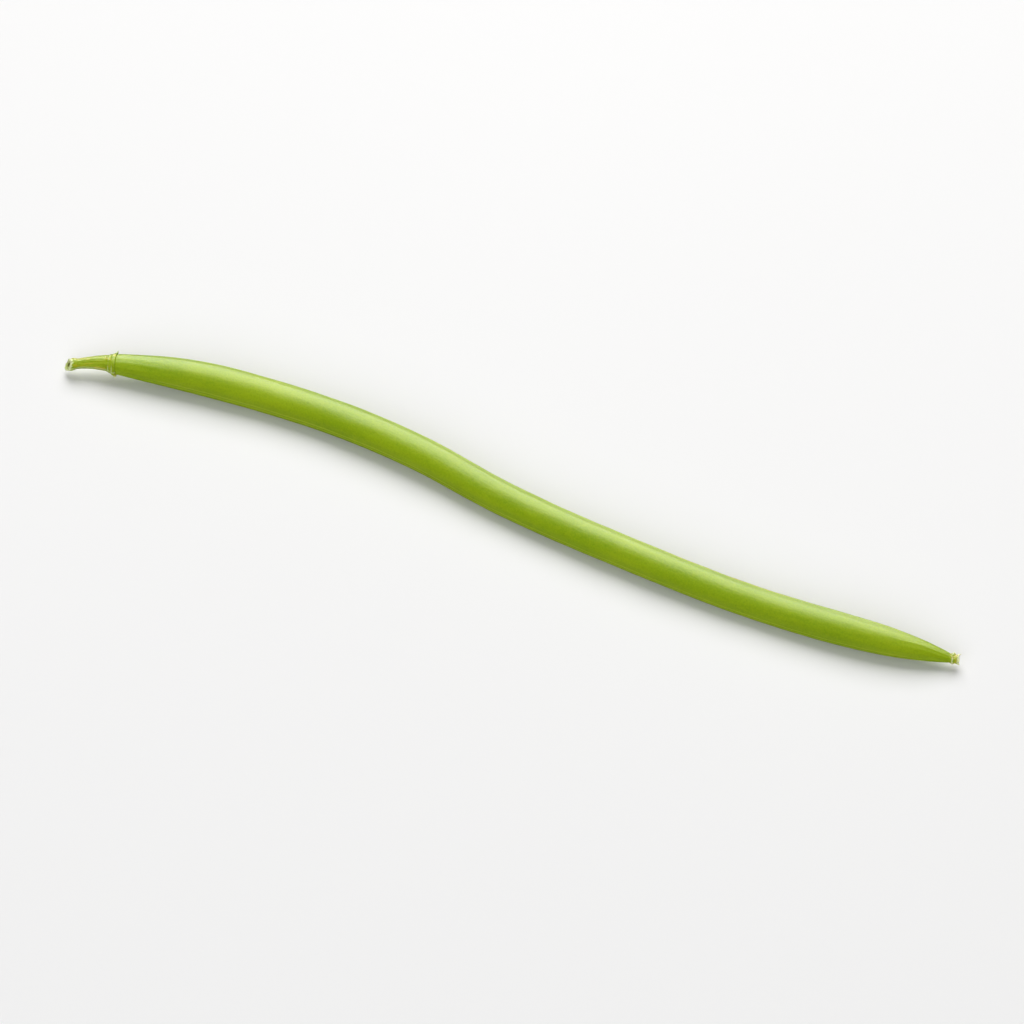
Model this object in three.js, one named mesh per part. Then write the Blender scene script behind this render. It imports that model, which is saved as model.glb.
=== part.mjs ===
// A fresh green bean: a slender, slightly S-curved pod with its calyx collar and stem, lying on a table.
// Millimetres, +Z up. The bean lies along +X, stem end at -X and tip at +X, its underside at z = 0.
// Every piece is a lathe form drawn straight along its own axis, given its relief by a formula,
// and then bent along one shared spine. A station is a distance along the spine from the pod's neck.

import * as THREE from 'three';
import { mergeVertices } from 'three/addons/utils/BufferGeometryUtils.js';

// ---- Driving dimensions, in mm ------------------------------------------------------------------

const STEM_LENGTH = 7.3;          // from the torn end to the calyx
const CALYX_LENGTH = 2.3;         // from the stem to the pod
const POD_LENGTH = 152.4;         // from the calyx to the torn tip
const SEAM_GAP = 0.2;             // clear space between two neighbouring pieces

const POD_WIDTH = 5.9;            // across the two seams, at the widest, without their ridges
const POD_THICKNESS = 5.4;        // between the two cheeks, at the widest
const NECK_SHARE = 0.605;         // width at the calyx, as a share of the widest
const NECK_LENGTH = 21;           // where the neck has grown to full width
const NECK_ROUNDING = 0.12;       // of the edge where the pod meets the calyx
const SLIM_SHARE = 0.09;          // how much slimmer the tip half is than the stem half
const SLIM_START = 42;            // where the slimming starts
const SLIM_END = 100;             // and where it ends
const BEAK_START = 127;           // where the pod starts to close towards its tip
const BEAK_SHARE = 0.7;           // how much of the width is gone at the stub
const STUB_LENGTH = 1.7;          // the pale scar of the style at the tip
const STUB_FLARE = 0.1;           // how far the torn rim of the stub stands out
const STUB_TEAR = 0.22;           // how far the torn rim of the stub reaches and falls back
const STUB_HOLLOW = 0.35;         // depth of the hollow in the stub's end

const SEAM_HEIGHT = 0.15;         // of the double ridge along the upper seam
const BACK_SEAM_HEIGHT = 0.1;     // of the double ridge along the lower seam
const SEAM_HALF_GAP = 6.4;        // degrees from the groove to either ridge
const SEAM_SPREAD = 3.6;          // degrees over which a ridge falls away
const RELIEF_RISE = [3, 12];      // stations where seams and swellings grow to full height
const RELIEF_FALL = [138, 150.7]; // stations where they run out again
const SEED_COUNT = 10;            // swellings over the seeds
const SEED_START = 20;            // centre of the first swelling
const SEED_PITCH = 11.6;          // from one swelling to the next
const SEED_SWELL = 0.09;          // how far a swelling stands out of each cheek

const ROLL_AT_NECK = 29;          // degrees that the seam plane is turned from level
const ROLL_AT_TIP = 39;

const FIRST_REST = 30;            // first of the three places where the pod touches the table
const REST_PITCH = 44;            // from one such place to the next
const REST_LIFT = 0.3;            // how far the underside rises between them
const REST_FLAT = 0.1;            // how far each is pressed flat
const NECK_LIFT = 1.5;            // how far the underside of the neck rises
const TIP_LIFT = 1.3;             // how far the underside of the tip rises
const STEM_DROOP = 0.9;           // how far the torn end of the stem hangs below the calyx

const COLLAR_RADIUS = 1.9;        // of the calyx, at its front ridge
const REAR_RIDGE_RADIUS = 1.62;   // of the calyx, at its rear ridge
const REAR_RIDGE = 0.64;          // from the calyx's rear end to its rear ridge
const FRONT_RIDGE = 1.34;         // and to its front ridge
const RIDGE_HEIGHT = 0.07;        // of the front ridge over the skin behind and before it
const TOOTH_SIZES = [1, 0.2, 0.55, 0.3]; // teeth round the rim, from the upper seam round
const TOOTH_FLARE = 0.45;         // how far a tooth of size 1 stands away from the pod
const COLLAR_DROOP = 0.2;         // how much further the rim flares below than above
const COLLAR_SLANT = 0.03;        // slope of the rim across the bean

const STEM_ROOT_RADIUS = 1.38;    // of the stem, at the calyx
const STEM_WAIST_RADIUS = 0.84;   // of the stem, at its slimmest
const KNUCKLE_RADIUS = 1.08;      // of the swollen torn end
const KNUCKLE_LENGTH = 0.9;       // over which the swelling falls away
const PITH_RADIUS = 0.4;          // of the hollow in the torn end
const PITH_DEPTH = 0.4;
const STEM_RIBS = 5;              // low ribs along the stem
const STEM_RIB_SHARE = 0.045;     // their height, as a share of the radius

const POD_COLUMNS = 32;           // points round the pod
const SMALL_COLUMNS = 30;         // points round the stem and the calyx
const POD_RINGS = 69;             // rings along the body of the pod
const STEM_RINGS = 12;            // rings along the stem
const COLUMN_CROWDING = 0.45;     // how far the pod's columns crowd towards its seams, from 0 to 1
const RING_CROWDING = 0.35;       // how far its rings crowd towards its ends, from 0 to 1

// The spine seen from above, from the torn end of the stem to the tip. The origin is the middle of
// the bean's footprint.
const SPINE_PLAN = [
  [-80.2, -4.2], [-75.9, -2.3], [-71.3, -1], [-54.8, 2.1], [-35.8, 3.3], [-17.3, 2.1],
  [-0.3, -0.7], [18.2, -2.6], [38.7, -3.6], [55.7, -3.3], [69.7, -2.2], [80.7, -0.6],
];

const STEM_END = -STEM_LENGTH - CALYX_LENGTH;
const STEM_ROOT = -CALYX_LENGTH - SEAM_GAP;
const BODY_END = POD_LENGTH - STUB_LENGTH;
const LAST_REST = FIRST_REST + 2 * REST_PITCH;

// ---- Helpers ------------------------------------------------------------------------------------

const { degToRad, radToDeg, lerp, smoothstep, clamp, euclideanModulo } = THREE.MathUtils;

// 0 before start, 1 after end, and the given power between them.
function ramp(value, start, end, power) {
  return clamp((value - start) / (end - start), 0, 1) ** power;
}

// A bell of height 1 round zero.
function bell(distance, spread) {
  return Math.exp(-((distance / spread) ** 2));
}

// ---- Spine --------------------------------------------------------------------------------------

const plan = new THREE.CatmullRomCurve3(SPINE_PLAN.map(([x, y]) => new THREE.Vector3(x, y, 0)));

// How wide the pod is at a station, as a share of its widest.
function podShare(station) {
  const neck = 1 - (1 - NECK_SHARE) * (1 - ramp(station, 0, NECK_LENGTH, 1)) ** 2;
  const slim = 1 - SLIM_SHARE * smoothstep(station, SLIM_START, SLIM_END);
  const beak = 1 - BEAK_SHARE * ramp(station, BEAK_START, BODY_END, 3);
  return neck * slim * beak;
}

// How far the seam plane is turned from level, in radians.
function rollAt(station) {
  return degToRad(lerp(ROLL_AT_NECK, ROLL_AT_TIP, clamp(station / POD_LENGTH, 0, 1)));
}

// Half the height of the turned oval at a station.
function halfHeight(station) {
  const roll = rollAt(station);
  const acrossSeams = (POD_WIDTH / 2) * Math.sin(roll);
  const acrossCheeks = (POD_THICKNESS / 2) * Math.cos(roll);
  return podShare(station) * Math.hypot(acrossSeams, acrossCheeks);
}

// Height of the spine: the pod lies on three places, and both ends rise clear of the table.
function spineHeight(station) {
  const along = clamp(station, 0, POD_LENGTH);
  const rested = clamp(along, FIRST_REST, LAST_REST) - FIRST_REST;
  const wave = REST_LIFT * Math.sin((Math.PI * rested) / REST_PITCH) ** 2;
  const neckRise = NECK_LIFT * ramp(-along, -FIRST_REST, 0, 2);
  const tipRise = TIP_LIFT * ramp(along, LAST_REST, POD_LENGTH, 2);
  const droop = STEM_DROOP * ramp(-station, 0, -STEM_END, 2);
  return halfHeight(along) - REST_FLAT + wave + neckRise + tipRise - droop;
}

// A point of the spine and the two directions across it, one level and one upright.
function spineFrame(station) {
  const share = clamp((station - STEM_END) / plan.getLength(), 0, 1);
  const centre = plan.getPointAt(share);
  const tangent = plan.getTangentAt(share);
  const step = 0.5;
  centre.z = spineHeight(station);
  tangent.z = (spineHeight(station + step) - spineHeight(station - step)) / (2 * step);
  tangent.normalize();
  const level = new THREE.Vector3(0, 0, 1).cross(tangent).normalize();
  const upright = tangent.clone().cross(level);
  return { centre, level, upright };
}

// ---- Lathe forms bent along the spine -----------------------------------------------------------

// profile lists [radius, station] from axis to axis. shape(station, angle, radius) gives the final
// station, and how far the point lies from the spine towards the upper seam and the upper cheek.
function bentLathe(profile, columns, shape) {
  const points = profile.map(([radius, station]) => new THREE.Vector2(radius, station));
  const lathe = new THREE.LatheGeometry(points, columns);
  lathe.deleteAttribute('normal');
  lathe.deleteAttribute('uv');
  const geometry = mergeVertices(lathe);
  const position = geometry.getAttribute('position');
  const point = new THREE.Vector3();
  for (let i = 0; i < position.count; i += 1) {
    point.fromBufferAttribute(position, i);
    const angle = Math.atan2(point.x, point.z);
    const { station, seam, cheek } = shape(point.y, angle, Math.hypot(point.x, point.z));
    const { centre, level, upright } = spineFrame(station);
    const roll = rollAt(station);
    centre.addScaledVector(level, seam * Math.cos(roll) - cheek * Math.sin(roll));
    centre.addScaledVector(upright, seam * Math.sin(roll) + cheek * Math.cos(roll));
    position.setXYZ(i, centre.x, centre.y, Math.max(centre.z, 0));
  }
  geometry.computeVertexNormals();
  return geometry;
}

function makePiece(name, geometry, colour, roughness) {
  const material = new THREE.MeshStandardMaterial({ color: colour, roughness, metalness: 0 });
  const mesh = new THREE.Mesh(geometry, material);
  mesh.name = name;
  return mesh;
}

// ---- Pod ----------------------------------------------------------------------------------------

// The body follows podShare. The stub narrows a little, flares at its torn rim and ends in a hollow.
function podProfile() {
  const radius = POD_WIDTH / 2;
  const neck = radius * podShare(0);
  const stub = radius * podShare(BODY_END);
  const profile = [[0, 0], [neck - NECK_ROUNDING, 0], [neck, NECK_ROUNDING]];
  for (let i = 1; i <= POD_RINGS; i += 1) {
    const even = i / POD_RINGS;
    const turn = 2 * Math.PI * even;
    const station = BODY_END * (even - (RING_CROWDING * Math.sin(turn)) / (2 * Math.PI));
    profile.push([radius * podShare(station), station]);
  }
  profile.push(
    [0.96 * stub, BODY_END + 0.4 * STUB_LENGTH],
    [1.06 * stub, BODY_END + 0.75 * STUB_LENGTH],
    [1.02 * stub, POD_LENGTH],
    [0.45 * stub, POD_LENGTH - 0.7 * STUB_HOLLOW],
    [0, POD_LENGTH - STUB_HOLLOW],
  );
  return profile;
}

// Height of a double ridge at an angle, in degrees, from its groove.
function doubleRidge(degrees, height) {
  const near = bell(degrees - SEAM_HALF_GAP, SEAM_SPREAD);
  const far = bell(degrees + SEAM_HALF_GAP, SEAM_SPREAD);
  return height * (near + far);
}

// How far the cheeks swell over the seeds, which lie in a row.
function seedSwelling(station, angle) {
  const seed = (station - SEED_START) / SEED_PITCH;
  const first = smoothstep(seed, -0.5, 0);
  const last = smoothstep(SEED_COUNT - 0.5 - seed, 0, 0.5);
  return SEED_SWELL * first * last * Math.cos(Math.PI * seed) ** 2 * Math.sin(angle) ** 2;
}

// The columns crowd towards the two seams, which lie at 0 and 180 degrees.
function shapePod(station, angle, radius) {
  const turned = angle - (COLUMN_CROWDING / 2) * Math.sin(2 * angle);
  const degrees = Math.abs(radToDeg(turned));
  const seams = doubleRidge(degrees, SEAM_HEIGHT) + doubleRidge(180 - degrees, BACK_SEAM_HEIGHT);
  const shown = smoothstep(station, ...RELIEF_RISE) * (1 - smoothstep(station, ...RELIEF_FALL));
  const torn = smoothstep(station, BODY_END, POD_LENGTH);
  const rim = STUB_FLARE * torn * Math.cos(2 * angle + 0.6);
  const inward = clamp(radius / (0.9 * (POD_WIDTH / 2) * podShare(station)), 0, 1);
  const relief = (seams + seedSwelling(station, turned)) * shown + rim;
  const reach = radius + relief * inward;
  return {
    station: station + STUB_TEAR * torn * inward * Math.sin(3 * angle),
    seam: reach * Math.cos(turned),
    cheek: reach * Math.sin(turned) * (POD_THICKNESS / POD_WIDTH),
  };
}

// ---- Calyx --------------------------------------------------------------------------------------

// A collar that flares from the stem over a fine rear ridge to a fine front ridge.
function calyxProfile() {
  const rear = -CALYX_LENGTH;
  const front = -SEAM_GAP;
  return [
    [0, rear],
    [STEM_ROOT_RADIUS, rear],
    [STEM_ROOT_RADIUS + 0.08, rear + 0.4],
    [REAR_RIDGE_RADIUS, rear + REAR_RIDGE],
    [REAR_RIDGE_RADIUS - 0.03, rear + REAR_RIDGE + 0.15],
    [COLLAR_RADIUS - RIDGE_HEIGHT - 0.06, rear + FRONT_RIDGE - 0.2],
    [COLLAR_RADIUS, rear + FRONT_RIDGE],
    [COLLAR_RADIUS - RIDGE_HEIGHT, rear + FRONT_RIDGE + 0.15],
    [COLLAR_RADIUS - RIDGE_HEIGHT + 0.02, front - 0.12],
    [COLLAR_RADIUS - RIDGE_HEIGHT, front],
    [0.75 * COLLAR_RADIUS, front],
    [0, front],
  ];
}

// The rim slants, droops a little, and is drawn out into short teeth that stand away from the pod.
// The tooth at the upper seam is the longest.
function shapeCalyx(station, angle, radius) {
  const turn = TOOTH_SIZES.length * angle;
  const which = euclideanModulo(Math.round(turn / (2 * Math.PI)), TOOTH_SIZES.length);
  const tooth = TOOTH_SIZES[which] * Math.max(0, Math.cos(turn)) ** 2;
  const below = (0.5 - 0.5 * Math.cos(angle)) ** 2;
  const outer = smoothstep(radius, 0.8 * COLLAR_RADIUS, 0.9 * COLLAR_RADIUS);
  const rim = outer * smoothstep(station, FRONT_RIDGE - CALYX_LENGTH - 0.1, -SEAM_GAP);
  const reach = radius + rim * (TOOTH_FLARE * tooth + COLLAR_DROOP * below);
  return {
    station: station + rim * COLLAR_SLANT * radius * Math.cos(angle),
    seam: reach * Math.cos(angle),
    cheek: reach * Math.sin(angle),
  };
}

// ---- Stem ---------------------------------------------------------------------------------------

// Tapers from the calyx to a waist, and ends in a swollen, torn knuckle with a hollow pith.
function stemProfile() {
  const profile = [
    [0, STEM_END + PITH_DEPTH],
    [PITH_RADIUS, STEM_END + 0.75 * PITH_DEPTH],
    [0.86 * KNUCKLE_RADIUS, STEM_END],
  ];
  for (let i = 0; i <= STEM_RINGS; i += 1) {
    const station = lerp(STEM_END + 0.35, STEM_ROOT, i / STEM_RINGS);
    const fromEnd = station - STEM_END;
    const knuckle = (KNUCKLE_RADIUS - STEM_WAIST_RADIUS) * bell(fromEnd - 0.5, KNUCKLE_LENGTH);
    const taper = (STEM_ROOT_RADIUS - STEM_WAIST_RADIUS) * ramp(station, STEM_END + 1.6, STEM_ROOT, 1.5);
    profile.push([STEM_WAIST_RADIUS + knuckle + taper, station]);
  }
  profile.push([0, STEM_ROOT]);
  return profile;
}

// The stem has low ribs, and its torn end is uneven.
function shapeStem(station, angle, radius) {
  const ribs = 1 + STEM_RIB_SHARE * Math.cos(STEM_RIBS * angle + 0.8);
  const torn = 1 - smoothstep(station, STEM_END, STEM_END + 1.2);
  const ragged = torn * (0.12 * Math.sin(3 * angle + 1) + 0.08 * Math.sin(5 * angle));
  const reach = radius * ribs * (1 + 0.5 * ragged);
  return {
    station: station - Math.max(0, ragged) * Math.min(radius, 1),
    seam: reach * Math.cos(angle),
    cheek: reach * Math.sin(angle),
  };
}

// ---- The whole bean -----------------------------------------------------------------------------

const bean = new THREE.Group();
bean.add(makePiece('pod', bentLathe(podProfile(), POD_COLUMNS, shapePod), 0x7ea321, 0.42));
bean.add(makePiece('calyx', bentLathe(calyxProfile(), SMALL_COLUMNS, shapeCalyx), 0x9fb046, 0.45));
bean.add(makePiece('stem', bentLathe(stemProfile(), SMALL_COLUMNS, shapeStem), 0x98aa38, 0.45));

export default bean;
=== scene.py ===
"""A fresh green bean lying on a pale table.

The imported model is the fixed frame, and each of its three nodes is replaced by a finer piece. A
piece is modelled straight along +X in millimetres, given its relief, bent along the bean's spine
and then brought to metres. A station is a distance along the spine from the pod's neck. Across the
spine, the seam direction points to the upper seam and the cheek direction to the upper cheek.
"""

import logging
import math
import random
from bisect import bisect_right
from collections.abc import Callable, Iterable
from dataclasses import dataclass
from enum import Enum
from functools import partial
from itertools import pairwise
from typing import NamedTuple

import bmesh
import bpy
import numpy as np
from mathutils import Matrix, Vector, noise


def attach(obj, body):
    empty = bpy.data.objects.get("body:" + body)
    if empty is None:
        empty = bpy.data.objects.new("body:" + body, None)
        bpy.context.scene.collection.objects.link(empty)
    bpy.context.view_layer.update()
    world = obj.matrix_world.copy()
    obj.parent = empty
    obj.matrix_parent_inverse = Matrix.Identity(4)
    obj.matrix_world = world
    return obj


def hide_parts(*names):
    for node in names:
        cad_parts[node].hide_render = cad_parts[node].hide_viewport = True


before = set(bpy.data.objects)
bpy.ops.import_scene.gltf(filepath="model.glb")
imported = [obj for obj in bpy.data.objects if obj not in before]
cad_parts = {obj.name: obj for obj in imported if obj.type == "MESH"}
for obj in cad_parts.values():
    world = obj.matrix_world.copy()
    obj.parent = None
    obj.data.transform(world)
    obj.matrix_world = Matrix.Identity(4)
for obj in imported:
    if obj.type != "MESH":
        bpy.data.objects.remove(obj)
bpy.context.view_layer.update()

LOG = logging.getLogger("green_bean")
MM = 0.001
STRAIGHT = "straight"      # the attribute that keeps each point's station, seam and cheek, in mm
EDGE = "edge"              # the attribute that says how dry and pale a torn edge is, 0 to 1
SAME_POINT = 1e-4          # points nearer than this are one, in mm
SAME_COLUMN = 0.02         # so are columns, in radians
ROUNDING = 2               # levels of Subdivision Surface that every form gets
TRACK_GAP = 7.3            # between two tracks of a random wave
TRACK_LEVEL = 1.7          # the slice of the noise that random waves are cut from
NOISE_RANGE = (0.3, 0.7)   # where nearly all values of a noise node lie
GRAIN_RANGE = (0.0, 0.6)   # and of the grain
PEBBLE_DEPTH = 0.35        # how much the grain sinks between its pebbles
NODES_IN_ROW = 12          # on a node bench
NODE_WIDTH = 190
NODE_HEIGHT = 220

Socket = bpy.types.NodeSocket
Level = float | Socket
Colour = tuple[float, float, float]
Ring = tuple[float, float]                   # where it lies and how wide it is
Rings = tuple[Ring, ...]
Reach = tuple[float, float]                  # where something starts, and where it ends or is full
Streak = tuple[float, float]                 # its length and width, in mm
Band = tuple[float, float, float, float]     # where it starts, is full, stops being full and ends


class Spot(NamedTuple):
    """A place on a straight piece, in mm."""

    station: float
    seam: float
    cheek: float

    @property
    def turn(self) -> float:
        """Angle round the piece, in radians from the seam direction."""
        return math.atan2(self.cheek, self.seam)

    @property
    def radius(self) -> float:
        """Distance from the piece's axis."""
        return math.hypot(self.seam, self.cheek)


class Wash(NamedTuple):
    """How a thin paint follows its mask."""

    start: float            # the mask's value where the paint starts
    full: float             # and where it is full
    share: float            # how much of it shows there
    base: float = 0.0       # and how much shows where it hasn't started


Weight = Callable[[Spot], float]
Layer = tuple[Socket, Wash, Colour]          # a mask, how the paint follows it, and the paint


# ---- Plain sums ---------------------------------------------------------------------------------


def clamp(value: float, low: float = 0.0, high: float = 1.0) -> float:
    """Hold a value between low and high."""
    return max(low, min(high, value))


def lerp(start: float, end: float, share: float) -> float:
    """Give the value that lies a share of the way from start to end."""
    return start + (end - start) * share


def ramp(value: float, start: float, end: float, power: float = 1.0) -> float:
    """Rise from 0 at start to 1 at end, along a power curve."""
    return clamp((value - start) / (end - start)) ** power


def smooth(value: float, start: float, end: float) -> float:
    """Rise from 0 at start to 1 at end, easing in and out."""
    share = ramp(value, start, end)
    return share * share * (3.0 - 2.0 * share)


def bell(distance: float, spread: float) -> float:
    """Give a bell of height 1 round zero."""
    return math.exp(-((distance / spread) ** 2))


def wave(angle: float) -> float:
    """Give a cosine wave between 0 and 1."""
    return 0.5 + 0.5 * math.cos(angle)


def same_column(turn: float, other: float) -> bool:
    """Say whether two angles round a piece are one column's."""
    return abs(math.remainder(turn - other, math.tau)) < SAME_COLUMN


@dataclass(frozen=True)
class Wander:
    """A slow random wave along a piece, or round it."""

    level: float            # its middle
    change: float           # about how far it goes either way
    pitch: float            # about how long it is, in mm or in radians
    track: float = 0.0      # which of many unlike waves it is

    def at(self, place: float, track: float = 0.0) -> float:
        """Give the wave at a place, so many tracks away from its own."""
        read = Vector((place / self.pitch, TRACK_GAP * (self.track + track), TRACK_LEVEL))
        return self.level + self.change * 2.0 * noise.noise(read)


@dataclass(frozen=True)
class Ribs:
    """Low ribs along a piece, all round it. Sizes are in mm."""

    count: int
    height: float
    start: float = 0.0                          # how far round the first one is shifted
    sway: Wander = Wander(0.0, 0.0, 1.0)        # how far they all sway

    def at(self, spot: Spot) -> float:
        """Weigh the ribs at a spot, from 0 between them to 1 on their crests."""
        return wave(self.count * spot.turn + self.start + self.sway.at(spot.station))


@dataclass(frozen=True)
class Raggedness:
    """How unevenly a rim is torn: lobes all round it, and chance."""

    depth: float            # of the lobes
    lobes: int
    start: float            # how far round the first lobe is shifted
    chance: Reach           # the least and the most that chance adds

    def at(self, angle: float, shift: float, draw: random.Random) -> float:
        """Give how far the rim is torn at an angle, with its lobes shifted so far round."""
        lobe = math.sin(self.lobes * angle + self.start + shift)
        return self.depth * lobe + draw.uniform(*self.chance)


# ---- The spine ----------------------------------------------------------------------------------


class Seam(Enum):
    """The two seams of a pod, by the angle of each in radians from the seam direction."""

    UPPER = 0.0
    LOWER = 2.62


@dataclass(frozen=True)
class Spine:
    """The line that every piece is bent along, with the pod's widths along it, in mm."""

    plan: tuple[tuple[float, float], ...] = (
        (-80.2, -4.2), (-75.9, -2.3), (-71.3, -1.0), (-54.8, 2.1), (-35.8, 3.3), (-17.3, 2.1),
        (-0.3, -0.7), (18.2, -2.6), (38.7, -3.6), (55.7, -3.3), (69.7, -2.2), (80.7, -0.6),
    )
    stem_end: float = -9.6          # the torn end of the stem
    pod_length: float = 152.4       # the torn tip
    stub_length: float = 1.7        # the scar of the style at the tip
    pod_width: float = 5.9          # across the seams
    pod_thickness: float = 5.4      # between the cheeks
    neck_share: float = 0.605       # width at the calyx, as a share of the widest
    neck_length: float = 21.0
    slim_share: float = 0.09        # how much slimmer the tip half is
    slim_reach: Reach = (42.0, 100.0)
    beak_start: float = 127.0       # where the pod starts to close towards its tip
    beak_share: float = 0.7
    roll_at_neck: float = 29.0      # degrees that the seam plane is turned from level
    roll_at_tip: float = 39.0
    first_rest: float = 30.0        # the first of the three places where the pod lies on the table
    rest_pitch: float = 44.0        # from each to the next
    rest_lift: float = 0.3          # how far the pod rises between them
    rest_flat: float = 0.1          # how far they are pressed flat
    neck_lift: float = 1.5          # how far the neck rises beyond them
    tip_lift: float = 1.3
    stem_droop: float = 0.9         # how far the stem bends down again
    span_steps: int = 60            # steps between two points of the plan
    guide_step: float = 0.5         # between two points of the guide
    guide_margin: float = 1.0       # how far the guide runs past both ends

    @property
    def body_end(self) -> float:
        """Station where the pod's body meets the stub."""
        return self.pod_length - self.stub_length

    @property
    def flatness(self) -> float:
        """The pod's thickness as a share of its width."""
        return self.pod_thickness / self.pod_width

    @property
    def guide_start(self) -> float:
        """Station of the guide's first point."""
        return self.stem_end - self.guide_margin

    def share(self, station: float) -> float:
        """Give the pod's width at a station.

        Args:
            station: Where along the spine, in mm.

        Returns:
            The width there as a share of the widest.
        """
        neck = 1.0 - (1.0 - self.neck_share) * (1.0 - ramp(station, 0.0, self.neck_length)) ** 2
        slim = 1.0 - self.slim_share * smooth(station, *self.slim_reach)
        beak = 1.0 - self.beak_share * ramp(station, self.beak_start, self.body_end, power=3.0)
        return neck * slim * beak

    def radius(self, station: float) -> float:
        """Give half of the pod's width at a station."""
        return self.pod_width / 2 * self.share(station)

    def roll(self, station: float) -> float:
        """Give how far the seam plane is turned from level, in radians."""
        share = clamp(station / self.pod_length)
        return math.radians(lerp(self.roll_at_neck, self.roll_at_tip, share))

    def height(self, station: float) -> float:
        """Give the height of the spine above the table.

        Args:
            station: Where along the spine, in mm.

        Returns:
            The height in mm. The pod lies on three places and both ends rise clear.
        """
        along = clamp(station, 0.0, self.pod_length)
        roll = self.roll(along)
        seams = self.pod_width / 2 * math.sin(roll)
        cheeks = self.pod_thickness / 2 * math.cos(roll)
        half_height = self.share(along) * math.hypot(seams, cheeks)
        last_rest = self.first_rest + 2 * self.rest_pitch
        rested = clamp(along, self.first_rest, last_rest) - self.first_rest
        lift = self.rest_lift * math.sin(math.pi * rested / self.rest_pitch) ** 2
        neck_rise = self.neck_lift * ramp(-along, -self.first_rest, 0.0, power=2.0)
        tip_rise = self.tip_lift * ramp(along, last_rest, self.pod_length, power=2.0)
        droop = self.stem_droop * ramp(-station, 0.0, -self.stem_end, power=2.0)
        return half_height - self.rest_flat + lift + neck_rise + tip_rise - droop

    def plan_line(self) -> list[Vector]:
        """Draw the plan as a fine line.

        Returns:
            Points of a centripetal curve through the points of the plan.
        """
        marks = [Vector(mark) for mark in self.plan]
        marks = [2 * marks[0] - marks[1], *marks, 2 * marks[-1] - marks[-2]]
        line = []
        for before, start, end, after in zip(marks, marks[1:], marks[2:], marks[3:]):
            first, middle, last = (
                math.sqrt((b - a).length) for a, b in ((before, start), (start, end), (end, after))
            )
            chord = (end - start) / middle
            leave = (start - before) / first - (end - before) / (first + middle) + chord
            arrive = chord - (after - start) / (middle + last) + (after - end) / last
            leave, arrive = leave * middle, arrive * middle
            for step in range(self.span_steps):
                t = step / self.span_steps
                cubic = 2 * start - 2 * end + leave + arrive
                square = 3 * (end - start) - 2 * leave - arrive
                line.append(start + leave * t + square * t**2 + cubic * t**3)
        line.append(marks[-2])
        return line

    def guide(self) -> bpy.types.Object:
        """Make the curve that the pieces are bent along.

        Returns:
            A poly curve in mm, tilted as the pod rolls. Its length runs as the stations do.
        """
        line = self.plan_line()
        lengths = [0.0]
        for a, b in pairwise(line):
            lengths.append(lengths[-1] + (b - a).length)

        def plan_at(distance: float) -> Vector:
            """Find a point of the plan.

            Args:
                distance: How far it lies along the plan, in mm.

            Returns:
                The point. The plan runs straight on past its ends.
            """
            i = int(clamp(bisect_right(lengths, distance) - 1, 0, len(line) - 2))
            share = (distance - lengths[i]) / (lengths[i + 1] - lengths[i])
            return line[i].lerp(line[i + 1], share)

        count = round((self.pod_length + 2 * self.guide_margin - self.stem_end) / self.guide_step)
        curve = bpy.data.curves.new("spine_guide", "CURVE")
        curve.dimensions = "3D"
        curve.twist_mode = "Z_UP"
        curve.use_radius = False
        spline = curve.splines.new("POLY")
        spline.points.add(count)
        for i, point in enumerate(spline.points):
            station = self.guide_start + i * self.guide_step
            place = plan_at(station - self.stem_end)
            point.co = (place.x, place.y, self.height(station), 1.0)
            point.tilt = self.roll(station)
        guide = bpy.data.objects.new("spine_guide", curve)
        bpy.context.collection.objects.link(guide)
        return guide


# ---- Modelling by hand --------------------------------------------------------------------------


def deselect_all() -> None:
    """Leave edit mode and deselect every object."""
    if bpy.context.object and bpy.context.object.mode != "OBJECT":
        bpy.ops.object.mode_set(mode="OBJECT")
    bpy.ops.object.select_all(action="DESELECT")


def pick(piece: bpy.types.Object) -> None:
    """Select one piece alone and make it the active one.

    Args:
        piece: The piece.
    """
    deselect_all()
    piece.select_set(True)
    bpy.context.view_layer.objects.active = piece


def choose(piece: bpy.types.Object, wanted: Callable[[Spot], bool]) -> int:
    """Select only the points whose place is wanted.

    Args:
        piece: The piece, in edit mode.
        wanted: Says whether a place is wanted.

    Returns:
        How many points are selected.
    """
    form = bmesh.from_edit_mesh(piece.data)
    bpy.ops.mesh.select_all(action="DESELECT")
    chosen = [vertex for vertex in form.verts if wanted(Spot(*vertex.co))]
    for vertex in chosen:
        vertex.select_set(True)
    form.select_flush(True)
    bmesh.update_edit_mesh(piece.data)
    return len(chosen)


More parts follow.
